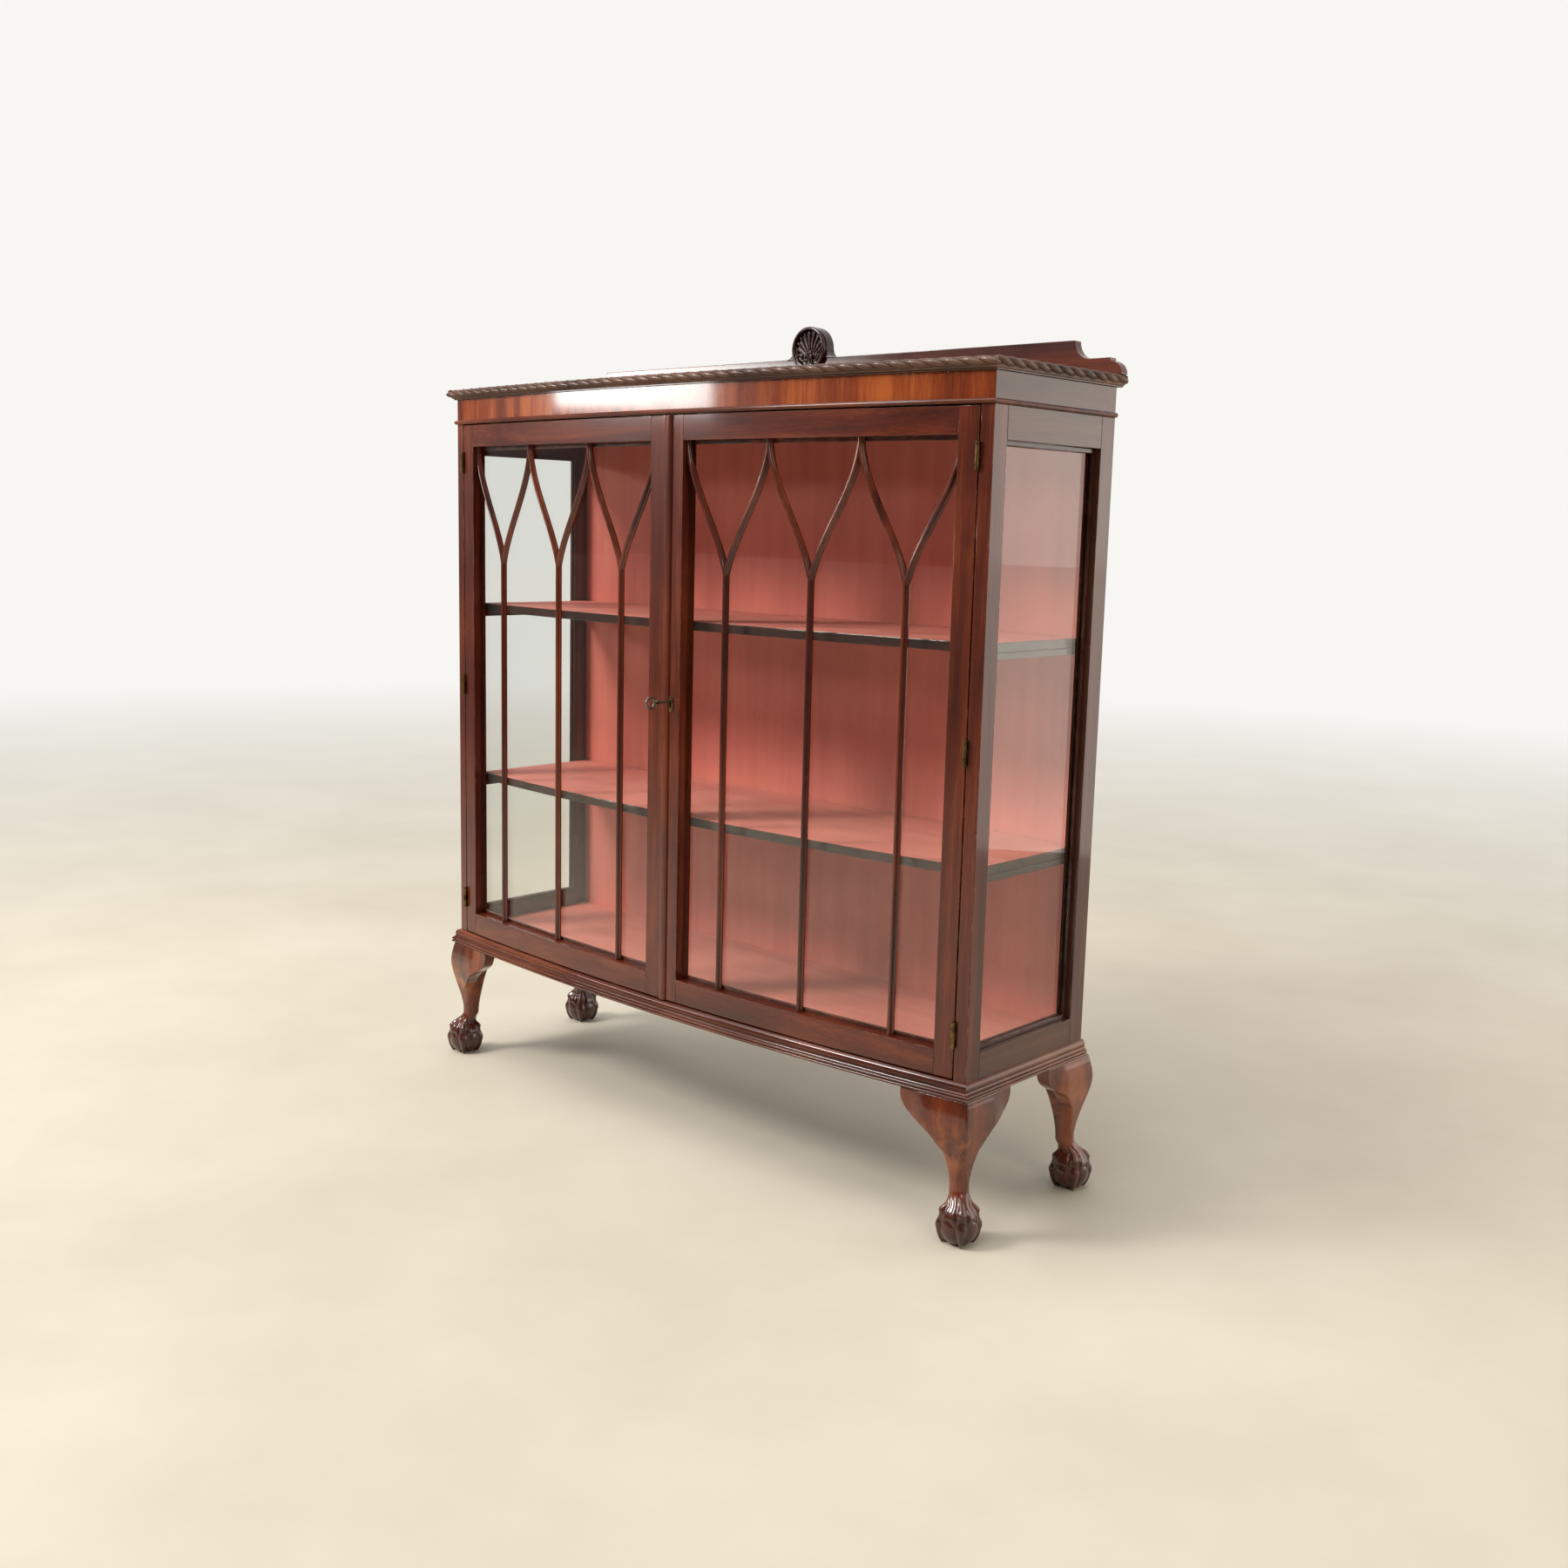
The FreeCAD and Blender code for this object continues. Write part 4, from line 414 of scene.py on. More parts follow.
CROSSBAND = crossband()
CORAL = lining("coral_back", (0.92, 0.265, 0.190), (0.76, 0.180, 0.130), (30, 30, 2.0))
CORAL_FLOOR = lining("coral_boards", (0.90, 0.285, 0.215), (0.74, 0.205, 0.155), (2.0, 30, 30))
GLASS = window_glass()
BRASS = metal("old_brass", (0.24, 0.150, 0.055), (0.070, 0.042, 0.020), 0.34)
STEEL = metal("darkened_steel", (0.30, 0.27, 0.24), (0.085, 0.070, 0.060), 0.32)


# ---------------------------------------------------------------- meshes

def stand(name, mesh, body, materials, replaced):
    """A finished piece on its body, in place of its CAD nodes."""
    piece = bpy.data.objects.new(name, mesh)
    bpy.context.scene.collection.objects.link(piece)
    if len(mesh.materials) != len(materials):
        mesh.materials.clear()
        for material in materials:
            mesh.materials.append(material)
    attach(piece, body)
    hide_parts(*replaced)


def carried(maker):
    """The plain mesh that an object's modifiers make, and the object is dropped."""
    bpy.context.scene.collection.objects.link(maker)
    grown = maker.evaluated_get(bpy.context.evaluated_depsgraph_get())
    mesh = bpy.data.meshes.new_from_object(grown)
    bpy.data.objects.remove(maker)
    return mesh


def crisped(mesh, smooth_angle, arrises=False):
    """Doubles merged, faces turned outwards, and edges past the angle, or beside an arris, kept crisp."""
    bm = bmesh.new()
    bm.from_mesh(mesh)
    bmesh.ops.remove_doubles(bm, verts=bm.verts, dist=0.005 * MM)
    bmesh.ops.recalc_face_normals(bm, faces=bm.faces)
    for face in bm.faces:
        face.smooth = True
    limit = math.radians(smooth_angle)
    for edge in bm.edges:
        edge.smooth = edge.is_manifold and edge.calc_face_angle(0.0) < limit
        if arrises and len({face.material_index == 1 for face in edge.link_faces}) > 1:
            edge.smooth = False
    bm.to_mesh(mesh)
    bm.free()
    return mesh


def eased(node, materials, width=0.7, facing=None):
    """A CAD timber with its arrises rounded off, width millimetres wide.

    The second finish is for the arrises, and a third for the faces that are turned facing.
    """
    mesh = frame["nodes"][node].data.copy()
    mesh.materials.clear()
    for material in materials:
        mesh.materials.append(material)
    bm = bmesh.new()
    bm.from_mesh(mesh)
    bmesh.ops.remove_doubles(bm, verts=bm.verts, dist=0.001 * MM)
    bmesh.ops.dissolve_limit(bm, angle_limit=math.radians(0.4), verts=bm.verts, edges=bm.edges)
    bmesh.ops.recalc_face_normals(bm, faces=bm.faces)
    for face in bm.faces:
        face.material_index = 0
        if facing is not None and face.normal.dot(Vector(facing)) > 0.9:
            face.material_index = 2
    bm.to_mesh(mesh)
    bm.free()
    maker = bpy.data.objects.new(f"{node}_maker", mesh)
    bevel = maker.modifiers.new("arris", "BEVEL")
    bevel.width = width * MM
    bevel.segments = 2
    bevel.limit_method = "ANGLE"
    bevel.angle_limit = math.radians(40)
    bevel.use_clamp_overlap = False
    bevel.material = 1
    made = crisped(carried(maker), 30, arrises=True)
    stand(f"{node}_timber", made, BODY_OF[node], materials, (node,))


# ---------------------------------------------------------------- runs of moulding

def wire(name, points, closed=False):
    """A path or an outline as edges, for a run of moulding to follow."""
    mesh = bpy.data.meshes.new(name)
    edges = [(i, i + 1) for i in range(len(points) - 1)]
    if closed:
        edges.append((len(points) - 1, 0))
    mesh.from_pydata([tuple(point) for point in points], edges, [])
    return bpy.data.objects.new(name, mesh)


def moulding_tree(name, on_bow=False, twisted=False):
    """Sweeps an outline along a path. Its X points outwards, its Y downwards or along the bow."""
    group = bpy.data.node_groups.new(name, "GeometryNodeTree")
    face = group.interface
    face.new_socket("Geometry", in_out="INPUT", socket_type="NodeSocketGeometry")
    face.new_socket("Outline", in_out="INPUT", socket_type="NodeSocketObject")
    face.new_socket("Finish", in_out="INPUT", socket_type="NodeSocketMaterial")
    face.new_socket("Lay Length", in_out="INPUT", socket_type="NodeSocketFloat")
    face.new_socket("Twist Step", in_out="INPUT", socket_type="NodeSocketFloat")
    face.new_socket("Bow Centre", in_out="INPUT", socket_type="NodeSocketVector")
    face.new_socket("Geometry", in_out="OUTPUT", socket_type="NodeSocketGeometry")
    nodes = group.nodes
    links = group.links
    given = nodes.new("NodeGroupInput")
    path = nodes.new("GeometryNodeMeshToCurve")
    links.new(given.outputs["Geometry"], path.inputs["Mesh"])
    facing = nodes.new("GeometryNodeSetCurveNormal")
    facing.mode = "FREE" if on_bow else "Z_UP"
    links.new(path.outputs[0], facing.inputs["Curve"])
    run = facing.outputs[0]
    if on_bow:
        away = nodes.new("ShaderNodeVectorMath")
        away.operation = "SUBTRACT"
        links.new(nodes.new("GeometryNodeInputPosition").outputs[0], away.inputs[0])
        links.new(given.outputs["Bow Centre"], away.inputs[1])
        level = nodes.new("ShaderNodeVectorMath")
        level.operation = "MULTIPLY"
        level.inputs[1].default_value = (1, 1, 0)
        links.new(away.outputs[0], level.inputs[0])
        links.new(level.outputs[0], facing.inputs[2])
    if twisted:
        steps = nodes.new("GeometryNodeResampleCurve")
        steps.mode = "LENGTH"
        links.new(run, steps.inputs["Curve"])
        links.new(given.outputs["Twist Step"], steps.inputs["Length"])
        turns = nodes.new("ShaderNodeMath")
        turns.operation = "DIVIDE"
        links.new(nodes.new("GeometryNodeSplineParameter").outputs["Length"], turns.inputs[0])
        links.new(given.outputs["Lay Length"], turns.inputs[1])
        angle = nodes.new("ShaderNodeMath")
        angle.operation = "MULTIPLY"
        angle.inputs[1].default_value = 2 * math.pi
        links.new(turns.outputs[0], angle.inputs[0])
        tilt = nodes.new("GeometryNodeSetCurveTilt")
        links.new(steps.outputs[0], tilt.inputs["Curve"])
        links.new(angle.outputs[0], tilt.inputs["Tilt"])
        run = tilt.outputs[0]
    section = nodes.new("GeometryNodeObjectInfo")
    links.new(given.outputs["Outline"], section.inputs["Object"])
    outline = nodes.new("GeometryNodeMeshToCurve")
    links.new(section.outputs["Geometry"], outline.inputs["Mesh"])
    sweep = nodes.new("GeometryNodeCurveToMesh")
    sweep.inputs["Fill Caps"].default_value = True
    links.new(run, sweep.inputs["Curve"])
    links.new(outline.outputs[0], sweep.inputs["Profile Curve"])
    whole = nodes.new("GeometryNodeRealizeInstances")
    links.new(sweep.outputs[0], whole.inputs["Geometry"])
    finish = nodes.new("GeometryNodeSetMaterial")
    links.new(whole.outputs[0], finish.inputs["Geometry"])
    links.new(given.outputs["Finish"], finish.inputs["Material"])
    links.new(finish.outputs[0], nodes.new("NodeGroupOutput").inputs[0])
    return group


def grown(maker, tree, **values):
    """The mesh that a node tree grows from the maker's points."""
    grow = maker.modifiers.new("grow", "NODES")
    grow.node_group = tree
    for item in tree.interface.items_tree:
        label = item.name.replace(" ", "_").lower()
        if item.in_out == "INPUT" and label in values:
            grow[item.identifier] = values[label]
    return carried(maker)


def arc(centre, radii, first, last, steps):
    """Points along a round or oval arc between two angles in degrees."""
    points = []
    for i in range(steps + 1):
        turn = math.radians(first + (last - first) * i / steps)
        points.append((centre[0] + radii[0] * math.cos(turn), centre[1] + radii[1] * math.sin(turn)))
    return points


def in_metres(outline):
    """An outline of (x, y) in millimetres as points in metres."""
    return [(x * MM, y * MM, 0) for x, y in outline]


LEVEL_RUN = moulding_tree("level_moulding")
BOW_RUN = moulding_tree("bar_on_the_bow", on_bow=True)
ROPE_RUN = moulding_tree("rope_strands", twisted=True)
TWIST_STEP = 1.5 * MM


def run_of(tree, path, outline, finish, lay=1.0):
    """A length of moulding along a path. lay is the length of one turn of a rope."""
    section = wire("outline", outline, closed=True)
    bpy.context.scene.collection.objects.link(section)
    mesh = grown(wire("path", path), tree, outline=section, finish=finish, lay_length=lay,
                 twist_step=TWIST_STEP, bow_centre=(0.0, BOW_CENTRE, 0.0))
    bpy.data.objects.remove(section)
    return mesh


def joined(meshes):
    """Several meshes as one."""
    bm = bmesh.new()
    for mesh in meshes:
        bm.from_mesh(mesh)
    whole = bpy.data.meshes.new("joined")
    bm.to_mesh(whole)
    bm.free()
    return whole


def sawn(mesh, place, keep):
    """Everything on the keep side of a saw cut, with the cut face closed."""
    bm = bmesh.new()
    bm.from_mesh(mesh)
    bmesh.ops.remove_doubles(bm, verts=bm.verts, dist=0.001 * MM)
    parts = bm.verts[:] + bm.edges[:] + bm.faces[:]
    cut = bmesh.ops.bisect_plane(bm, geom=parts, plane_co=place, plane_no=keep, clear_inner=True)
    rim = [part for part in cut["geom_cut"] if isinstance(part, bmesh.types.BMEdge)]
    bmesh.ops.contextual_create(bm, geom=rim)
    bm.to_mesh(mesh)
    bm.free()
    return mesh


MITRE_TURN = math.pi / 4 - BOW_ANGLE / 2
MITRE = Vector((math.sin(MITRE_TURN), -math.cos(MITRE_TURN), 0))
BOW_STEPS = 96
BOW_OVERRUN = 0.008
SIDE_OVERRUN = 24 * MM


def round_the_case(tree, outline, finish, reach, z, back, lay=1.0):
    """Front and side runs of a moulding, each made too long and mitred at both front corners."""
    radius = BOW_RADIUS + reach
    swing = math.asin(CORNER_X / radius) + BOW_OVERRUN
    front = []
    for i in range(BOW_STEPS + 1):
        angle = swing * (2 * i / BOW_STEPS - 1)
        front.append((radius * math.sin(angle), BOW_CENTRE - radius * math.cos(angle), z))
    corner = Vector((CORNER_X, CORNER_Y, 0))
    across = MITRE.cross(Vector((0, 0, 1)))
    bow = run_of(tree, front, outline, finish, lay)
    for side in (1, -1):
        flip = Vector((side, 1, 1))
        bow = sawn(bow, corner * flip, across * flip)
    beside = CORNER_X + reach
    right = run_of(tree, [(beside, CORNER_Y - SIDE_OVERRUN, z), (beside, back, z)], outline, finish, lay)
    right = sawn(right, corner, -across)
    left = right.copy()
    left.transform(Matrix.Diagonal((-1, 1, 1, 1)))
    return joined([bow, right, left])


# One turn of the rope is as long as its lay; the groove is the share of the radius cut away between strands.
ROPE_RADIUS = 6.5 * MM
ROPE_LAY = 58 * MM
ROPE_SIDES = 32
ROPE_GROOVE = 0.50
BED_SETBACK = 2.6


def rope_edge():
    """Two-strand carved rope over two small fillets, round the front and sides of the top."""
    node = "rope_moulding"
    low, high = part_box(node)
    middle = high.z - ROPE_RADIUS
    reach = high.x - CORNER_X - ROPE_RADIUS
    strands = []
    for i in range(ROPE_SIDES):
        turn = 2 * math.pi * i / ROPE_SIDES
        size = ROPE_RADIUS * (1 - ROPE_GROOVE + ROPE_GROOVE * abs(math.cos(turn)) ** 0.75)
        strands.append((size * math.cos(turn), size * math.sin(turn), 0))
    rope = round_the_case(ROPE_RUN, strands, ROPE_WOOD, reach, middle, high.y, ROPE_LAY)
    foot = (middle - low.z) / MM
    fillets = in_metres([
        (-4.4, -3), (-4.4, foot), (-0.9, foot), (-0.9, foot - 1.7), (-0.1, foot - 2.2), (1.2, foot - 2.4),
        (1.9, foot - 3.1), (1.9, 3.4), (BED_SETBACK, 2.8), (BED_SETBACK, -3)])
    bed = round_the_case(LEVEL_RUN, fillets, ROPE_WOOD, reach - BED_SETBACK * MM, middle, high.y)
    made = crisped(joined([rope, bed]), 50)
    stand("rope_edge", made, "cabinet", [ROPE_WOOD], (node,))


def base_edge():
    """Quarter round, quirk, hollow and two reeds round the front and sides of the base."""
    node = "base_moulding"
    low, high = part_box(node)
    inside = -3.0
    outline = [(inside, 0.0), (1.9, 0.0), (2.4, 0.3)]
    outline += arc((2.4, 8.6), (5.0, 8.3), -90, 0, 8)[1:]
    outline += [(6.3, 8.9), (6.3, 9.9), (7.0, 10.2)]
    outline += arc((10.2, 10.2), (3.2, 4.2), 180, 90, 6)[1:]
    outline.append((9.2, 14.8))
    for top in (15.0, 19.8):
        outline += arc((9.4, top + 2.2), (2.5, 2.2), -90, 90, 8)
        outline.append((8.9, top + 4.6))
    outline.append((inside, (high.z - low.z) / MM))
    made = round_the_case(LEVEL_RUN, in_metres(outline), MOULDED, 0.0, high.z, high.y)
    stand("base_edge", crisped(made, 50), "cabinet", [MOULDED], (node,))


# ---------------------------------------------------------------- glazing bars

BAR_FLANK = (
    # from the glass out to the nose: proud of the glass, half width
    (0.0, 5.75), (2.2, 5.75), (2.6, 5.3), (2.9, 4.3), (3.6, 3.5),
    (4.6, 3.05), (5.4, 2.95), (5.9, 2.6), (6.8, 2.3), (7.6, 1.5),
)
BAR_NOSE = (8.0, 0.0)
BAR_OUTLINE = in_metres([(x, -y) for x, y in BAR_FLANK] + [BAR_NOSE] + list(reversed(BAR_FLANK)))
BAR_SETBACK = -15 * MM
FORK_DROP = 202 * MM
BRANCH_STEPS = 32


def branch_swing(t, lean):
    """How far across a swept branch has come, from upright at the fork to upright again at the rail."""
    return lean * (0.2 * 3 * t * (1 - t) ** 2 + 0.983 * 3 * t * t * (1 - t) + t ** 3)


def glazing_bars(door):
    """Three upright bars of one door, each forking into two swept branches."""
    node = f"{door}_door_tracery"
    low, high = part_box(node)
    left, right = (corner.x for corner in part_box(f"{door}_door_bottom_rail"))
    lean = (right - left) / 6
    fork = high.z - FORK_DROP
    crotch = fork + 5 * MM
    runs = []
    for i in range(3):
        x = left + (2 * i + 1) * lean
        foot = [bow_point(x, low.z + (crotch - low.z) * k / 24, BAR_SETBACK) for k in range(25)]
        runs.append(run_of(BOW_RUN, foot, BAR_OUTLINE, BAR_WOOD))
        for side in (-1, 1):
            branch = []
            for k in range(BRANCH_STEPS + 1):
                t = k / BRANCH_STEPS
                branch.append(bow_point(x + side * branch_swing(t, lean), fork + t * FORK_DROP, BAR_SETBACK))
            mesh = run_of(BOW_RUN, branch, BAR_OUTLINE, BAR_WOOD)
            end = x + side * lean
            if end > right - lean / 2:
                mesh = sawn(mesh, (right, 0, 0), (-1, 0, 0))
            if end < left + lean / 2:
                mesh = sawn(mesh, (left, 0, 0), (1, 0, 0))
            runs.append(mesh)
    made = crisped(joined(runs), 48)
    stand(f"{door}_glazing_bars", made, f"{door}_door", [BAR_WOOD], (node,))


def meeting_bead():
    """Half-round bead that covers the gap between the doors."""
    node = "astragal"
    low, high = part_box(node)
    half = (high.x - low.x) / 2
    middle = low.x + half
    let_in = -0.3 * MM
    outline = [(let_in, -half, 0)]
    for i in range(13):
        turn = math.pi * (i / 12 - 0.5)
        outline.append(((1.0 + 3.0 * math.cos(turn) ** 0.8) * MM, half * math.sin(turn), 0))
    outline.append((let_in, half, 0))
    path = [bow_point(middle, low.z + (high.z - low.z) * k / 40) for k in range(41)]
    made = crisped(run_of(BOW_RUN, path, outline, RED["z"]), 40)
    stand("meeting_bead", made, "right_door", [RED["z"]], (node,))


# ---------------------------------------------------------------- carving

def through(before, start, end, after, t):
    """The Catmull-Rom curve from start (t = 0) to end (t = 1), of numbers or of vectors."""
    return 0.5 * (2 * start + (end - before) * t + (2 * before - 5 * start + 4 * end - after) * t * t
                  + (3 * start - before - 3 * end + after) * t ** 3)


def skin(bm, rings):
    """A closed skin over rings of vertices."""
    sides = len(rings[0])
    for first, second in zip(rings, rings[1:]):
        for k in range(sides):
            n = (k + 1) % sides
            bm.faces.new((first[k], first[n], second[n], second[k]))
    bm.faces.new(list(reversed(rings[0])))
    bm.faces.new(rings[-1])


LIMB_SIDES = 12


def limb(bm, rows, parts=4):
    """A round, tapering limb through rows of (x, y, z, radius), with parts steps from row to row."""
    rows = [Vector(row) for row in rows]
    rows = [2 * rows[0] - rows[1]] + rows + [2 * rows[-1] - rows[-2]]
    line = []
    for before, start, end, after in zip(rows, rows[1:], rows[2:], rows[3:]):
        line += [through(before, start, end, after, k / parts) for k in range(parts)]
    line.append(rows[-2])
    rings = []
    for i, row in enumerate(line):
        ahead = line[min(i + 1, len(line) - 1)].xyz - line[max(i - 1, 0)].xyz
        if rings:
            across = across - ahead * across.dot(ahead) / ahead.length_squared
        else:
            across = ahead.orthogonal()
        across.normalize()
        beside = ahead.cross(across).normalized()
        radius = max(row.w, 0.2)
        ring = []
        for k in range(LIMB_SIDES):
            turn = 2 * math.pi * k / LIMB_SIDES
            ring.append(bm.verts.new(row.xyz + radius * (math.cos(turn) * across + math.sin(turn) * beside)))
        rings.append(ring)
    skin(bm, rings)


def plate(bm, outline, front, back):
    """A board cut to an outline of (x, z), from a front depth to a back depth."""
    skin(bm, [[bm.verts.new((x, y, z)) for x, z in outline] for y in (front, back)])


def bead(bm, centre, size):
    """An oval bead."""
    shape = Matrix.Translation(centre) @ Matrix.Diagonal((*size, 1))
    bmesh.ops.create_uvsphere(bm, u_segments=20, v_segments=10, radius=1.0, matrix=shape)


def carved(bm, grain, passes):
    """Everything in bm, in millimetres, melted into one carved surface in metres and filed smooth."""
    bmesh.ops.recalc_face_normals(bm, faces=bm.faces)
    mesh = bpy.data.meshes.new("carving")
    bm.to_mesh(mesh)
    bm.free()
    maker = bpy.data.objects.new("carving_maker", mesh)
    melt = maker.modifiers.new("melt", "REMESH")
    melt.mode = "VOXEL"
    melt.voxel_size = grain
    melt.adaptivity = 0.0
    file = maker.modifiers.new("file", "SMOOTH")
    file.factor = 0.5
    file.iterations = passes
    made = carried(maker)
    made.transform(Matrix.Scale(MM, 4))
    return made


LEG_ROWS = (
    # height, reach beyond the corner of the case, reach inside it, corner radius
    (213, 10.0, 48.0, 1.6), (202, 12.4, 47.0, 1.6), (191, 14.6, 45.0, 1.8), (180, 15.8, 42.5, 2.2),
    (168, 15.4, 40.0, 3.0), (156, 13.6, 37.0, 4.0), (144, 11.0, 34.0, 5.4), (132, 8.4, 31.6, 7.0),
    (120, 6.0, 29.8, 9.0), (108, 4.0, 28.4, 11.0), (96, 2.6, 27.4, 12.8), (84, 2.0, 26.8, 14.2),
    (74, 2.8, 26.2, 14.4), (66, 6.6, 22.6, 14.4),
    (58, 12.0, 20.0, 16.0), (51, 17.0, 25.0, 21.0), (44, 20.6, 28.6, 24.6), (37, 22.2, 30.2, 26.2),
    (20, 22.4, 30.4, 26.4), (0, 22.4, 30.4, 26.4),
)
TOE_ROWS = (
    # height, reach of a toe from the middle of the foot, its half width in degrees
    (72, 13.6, 9.0), (66, 16.0, 11.0), (60, 19.8, 12.0), (55, 25.4, 13.0), (50, 29.6, 13.5), (44, 28.8, 12.0),
    (38, 30.0, 11.0), (31, 33.2, 12.5), (26, 33.8, 12.5), (20, 32.4, 10.5), (13, 30.8, 9.0), (6, 28.0, 8.0),
    (0, 24.5, 7.0),
)
LEG_HEIGHT = LEG_ROWS[0][0]
LEG_SIDES = 168
BALL = 28.2
BALL_HEIGHT = 25.0
# The web between the toes starts low beside a toe and rises to its highest between two.
WEB_LOW = 21
WEB_RISE = 19
SINEW_ANGLE = 29


def row_at(rows, z):
    """The numbers of a table of rows at a height, in a smooth curve through them."""
    for i in range(len(rows) - 1):
        upper, lower = rows[i], rows[i + 1]
        if z >= lower[0]:
            t = min(max((upper[0] - z) / (upper[0] - lower[0]), 0.0), 1.0)
            before = rows[max(i - 1, 0)]
            after = rows[min(i + 2, len(rows) - 1)]
            return [through(before[k], upper[k], lower[k], after[k], t) for k in range(1, len(upper))]
    return rows[-1][1:]


def eased_step(value):
    """0 below 0, 1 above 1, and a soft rise between."""
    value = min(max(value, 0.0), 1.0)
    return value * value * (3 - 2 * value)


def foot_reach(turn, z, plain):
    """Reach of the foot at an angle and height: ball below, web above, four toes over both."""
    off = (math.degrees(turn) + 45) % 90
    off = min(off, 90 - off)
    ball = math.sqrt(max(BALL ** 2 - (z - BALL_HEIGHT) ** 2, 1.0))
    web_edge = WEB_LOW + WEB_RISE * math.sin(math.radians(2 * off)) ** 1.4
    web = plain + 1.4 * eased_step((66 - z) / 18)
    reach = ball + (max(web, ball + 0.6) - ball) * eased_step((z - web_edge) / 2.4 + 0.5)
    sinew = 1.3 * eased_step((74 - z) / 12) * eased_step((z - web_edge + 2) / 12)
    reach += sinew * math.exp(-((off - SINEW_ANGLE) / 7.5) ** 2)
    toe, width = row_at(TOE_ROWS, z)
    reach += max(toe - reach, 0.0) * math.exp(-(off / width) ** 2.6)
    groove = 0.9 * eased_step((66 - z) / 10) * math.exp(-((off - width * 1.5) / 3.4) ** 2)
    return reach - groove


def leg_shaft(bm, skew):
    """Square knee, round ankle, ball and claws: the corner of the case is at x = 0, y = 0."""
    rings = []
    for z in range(LEG_HEIGHT, -1, -1):
        beyond, inside, corner = row_at(LEG_ROWS, z)
        half = (beyond + inside) / 2
        middle = (inside - beyond) / 2
        corner = min(corner, half - 0.1)
        flat = half - corner
        blend = eased_step((76 - z) / 10)
        ring = []
        for k in range(LEG_SIDES):
            turn = 2 * math.pi * k / LEG_SIDES
            wide = max(abs(math.cos(turn)), abs(math.sin(turn)))
            slim = min(abs(math.cos(turn)), abs(math.sin(turn)))
            reach = half / wide
            if half * slim / wide > flat:
                reach = flat * (wide + slim) + math.sqrt(max(corner ** 2 - (flat * (wide - slim)) ** 2, 0.0))
            if blend > 0:
                reach += (foot_reach(turn, z, reach) - reach) * blend
            x = reach * math.cos(turn) - middle
            y = reach * math.sin(turn) + middle + x * skew * eased_step((z - 110) / 50)
            ring.append(bm.verts.new((x, y, z)))
        rings.append(ring)
    skin(bm, rings)


EAR_EDGE = (
    # distance from the corner along the rail, height of the lower edge
    (100, 201), (98.5, 195), (94, 187), (88, 181.5), (82, 177.5), (75, 173), (68, 169.5), (60, 165.5),
    (54, 161.5), (48, 156.5), (43, 151), (38, 144.5), (32, 138), (24, 131), (16, 126),
)
EAR_COLUMNS = 36
EAR_LEVELS = 18
EAR_FACE = 9.0
EAR_BACK = -12.5


def ear_low(run):
    """Height of the bracket's lower edge at a distance from the corner."""
    for (far, far_z), (near, near_z) in zip(EAR_EDGE, EAR_EDGE[1:]):
        if near <= run <= far:
            return far_z + (near_z - far_z) * (far - run) / (far - near)
    return EAR_EDGE[-1][1]


def ear(bm, place):
    """A bracket that carries the knee's swell along a rail. place turns (along, beyond, z) into a point."""
    far = EAR_EDGE[0][0]
    near = EAR_EDGE[-1][0]
    rings = []
    for step in range(EAR_COLUMNS + 1):
        run = far - (far - near) * step / EAR_COLUMNS
        fade = eased_step((94 - run) / 44)
        drop = LEG_HEIGHT - ear_low(run)
        front = []
        back = []
        for k in range(EAR_LEVELS + 1):
            z = LEG_HEIGHT - drop * k / EAR_LEVELS
            swell = row_at(LEG_ROWS, z)[0]
            reach = EAR_FACE + (swell - EAR_FACE) * fade
            if z > LEG_HEIGHT - 2:
                reach = min(reach, 10.0)
            front.append(bm.verts.new(place(run, reach, z)))
            back.append(bm.verts.new(place(run, EAR_BACK, z)))
        rings.append(front + back[::-1])
    skin(bm, rings)


FOOT_CLEAR = 0.25 * MM


def leg(place):
    """A front or back leg with its brackets, at the right-hand corner."""
    bm = bmesh.new()
    leg_shaft(bm, math.tan(BOW_ANGLE) if place == "front" else 0.0)
    sign = 1 if place == "front" else -1
    for vert in bm.verts:
        vert.co.y *= sign
    ear(bm, lambda a, reach, z: (reach, sign * a, z))
    if place == "front":
        def on_bow(a, reach, z):
            spot = bow_point(CORNER_X - a * MM, 0, reach * MM)
            return ((spot.x - CORNER_X) / MM, (spot.y - CORNER_Y) / MM, z)
        ear(bm, on_bow)
    made = carved(bm, grain=1.05, passes=2)
    made = sawn(made, (0, 0, FOOT_CLEAR), (0, 0, 1))
    made = sawn(made, (0, 0, CASE_FOOT), (0, 0, -1))
    for face in made.polygons:
        face.use_smooth = abs(face.normal.z) < 0.98 or len(face.vertices) < 8
    corner_y = CORNER_Y if place == "front" else REAR_Y
    made.transform(Matrix.Translation((CORNER_X, corner_y, 0)))
    mirrored = made.copy()
    mirrored.transform(Matrix.Diagonal((-1, 1, 1, 1)))
    mirrored.flip_normals()
    for side, mesh in (("right", made), ("left", mirrored)):
        node = f"leg_{place}_{side}"
        stand(f"{node}_carved", mesh, "cabinet", [LEG_WOOD], (node, "knee_brackets"))


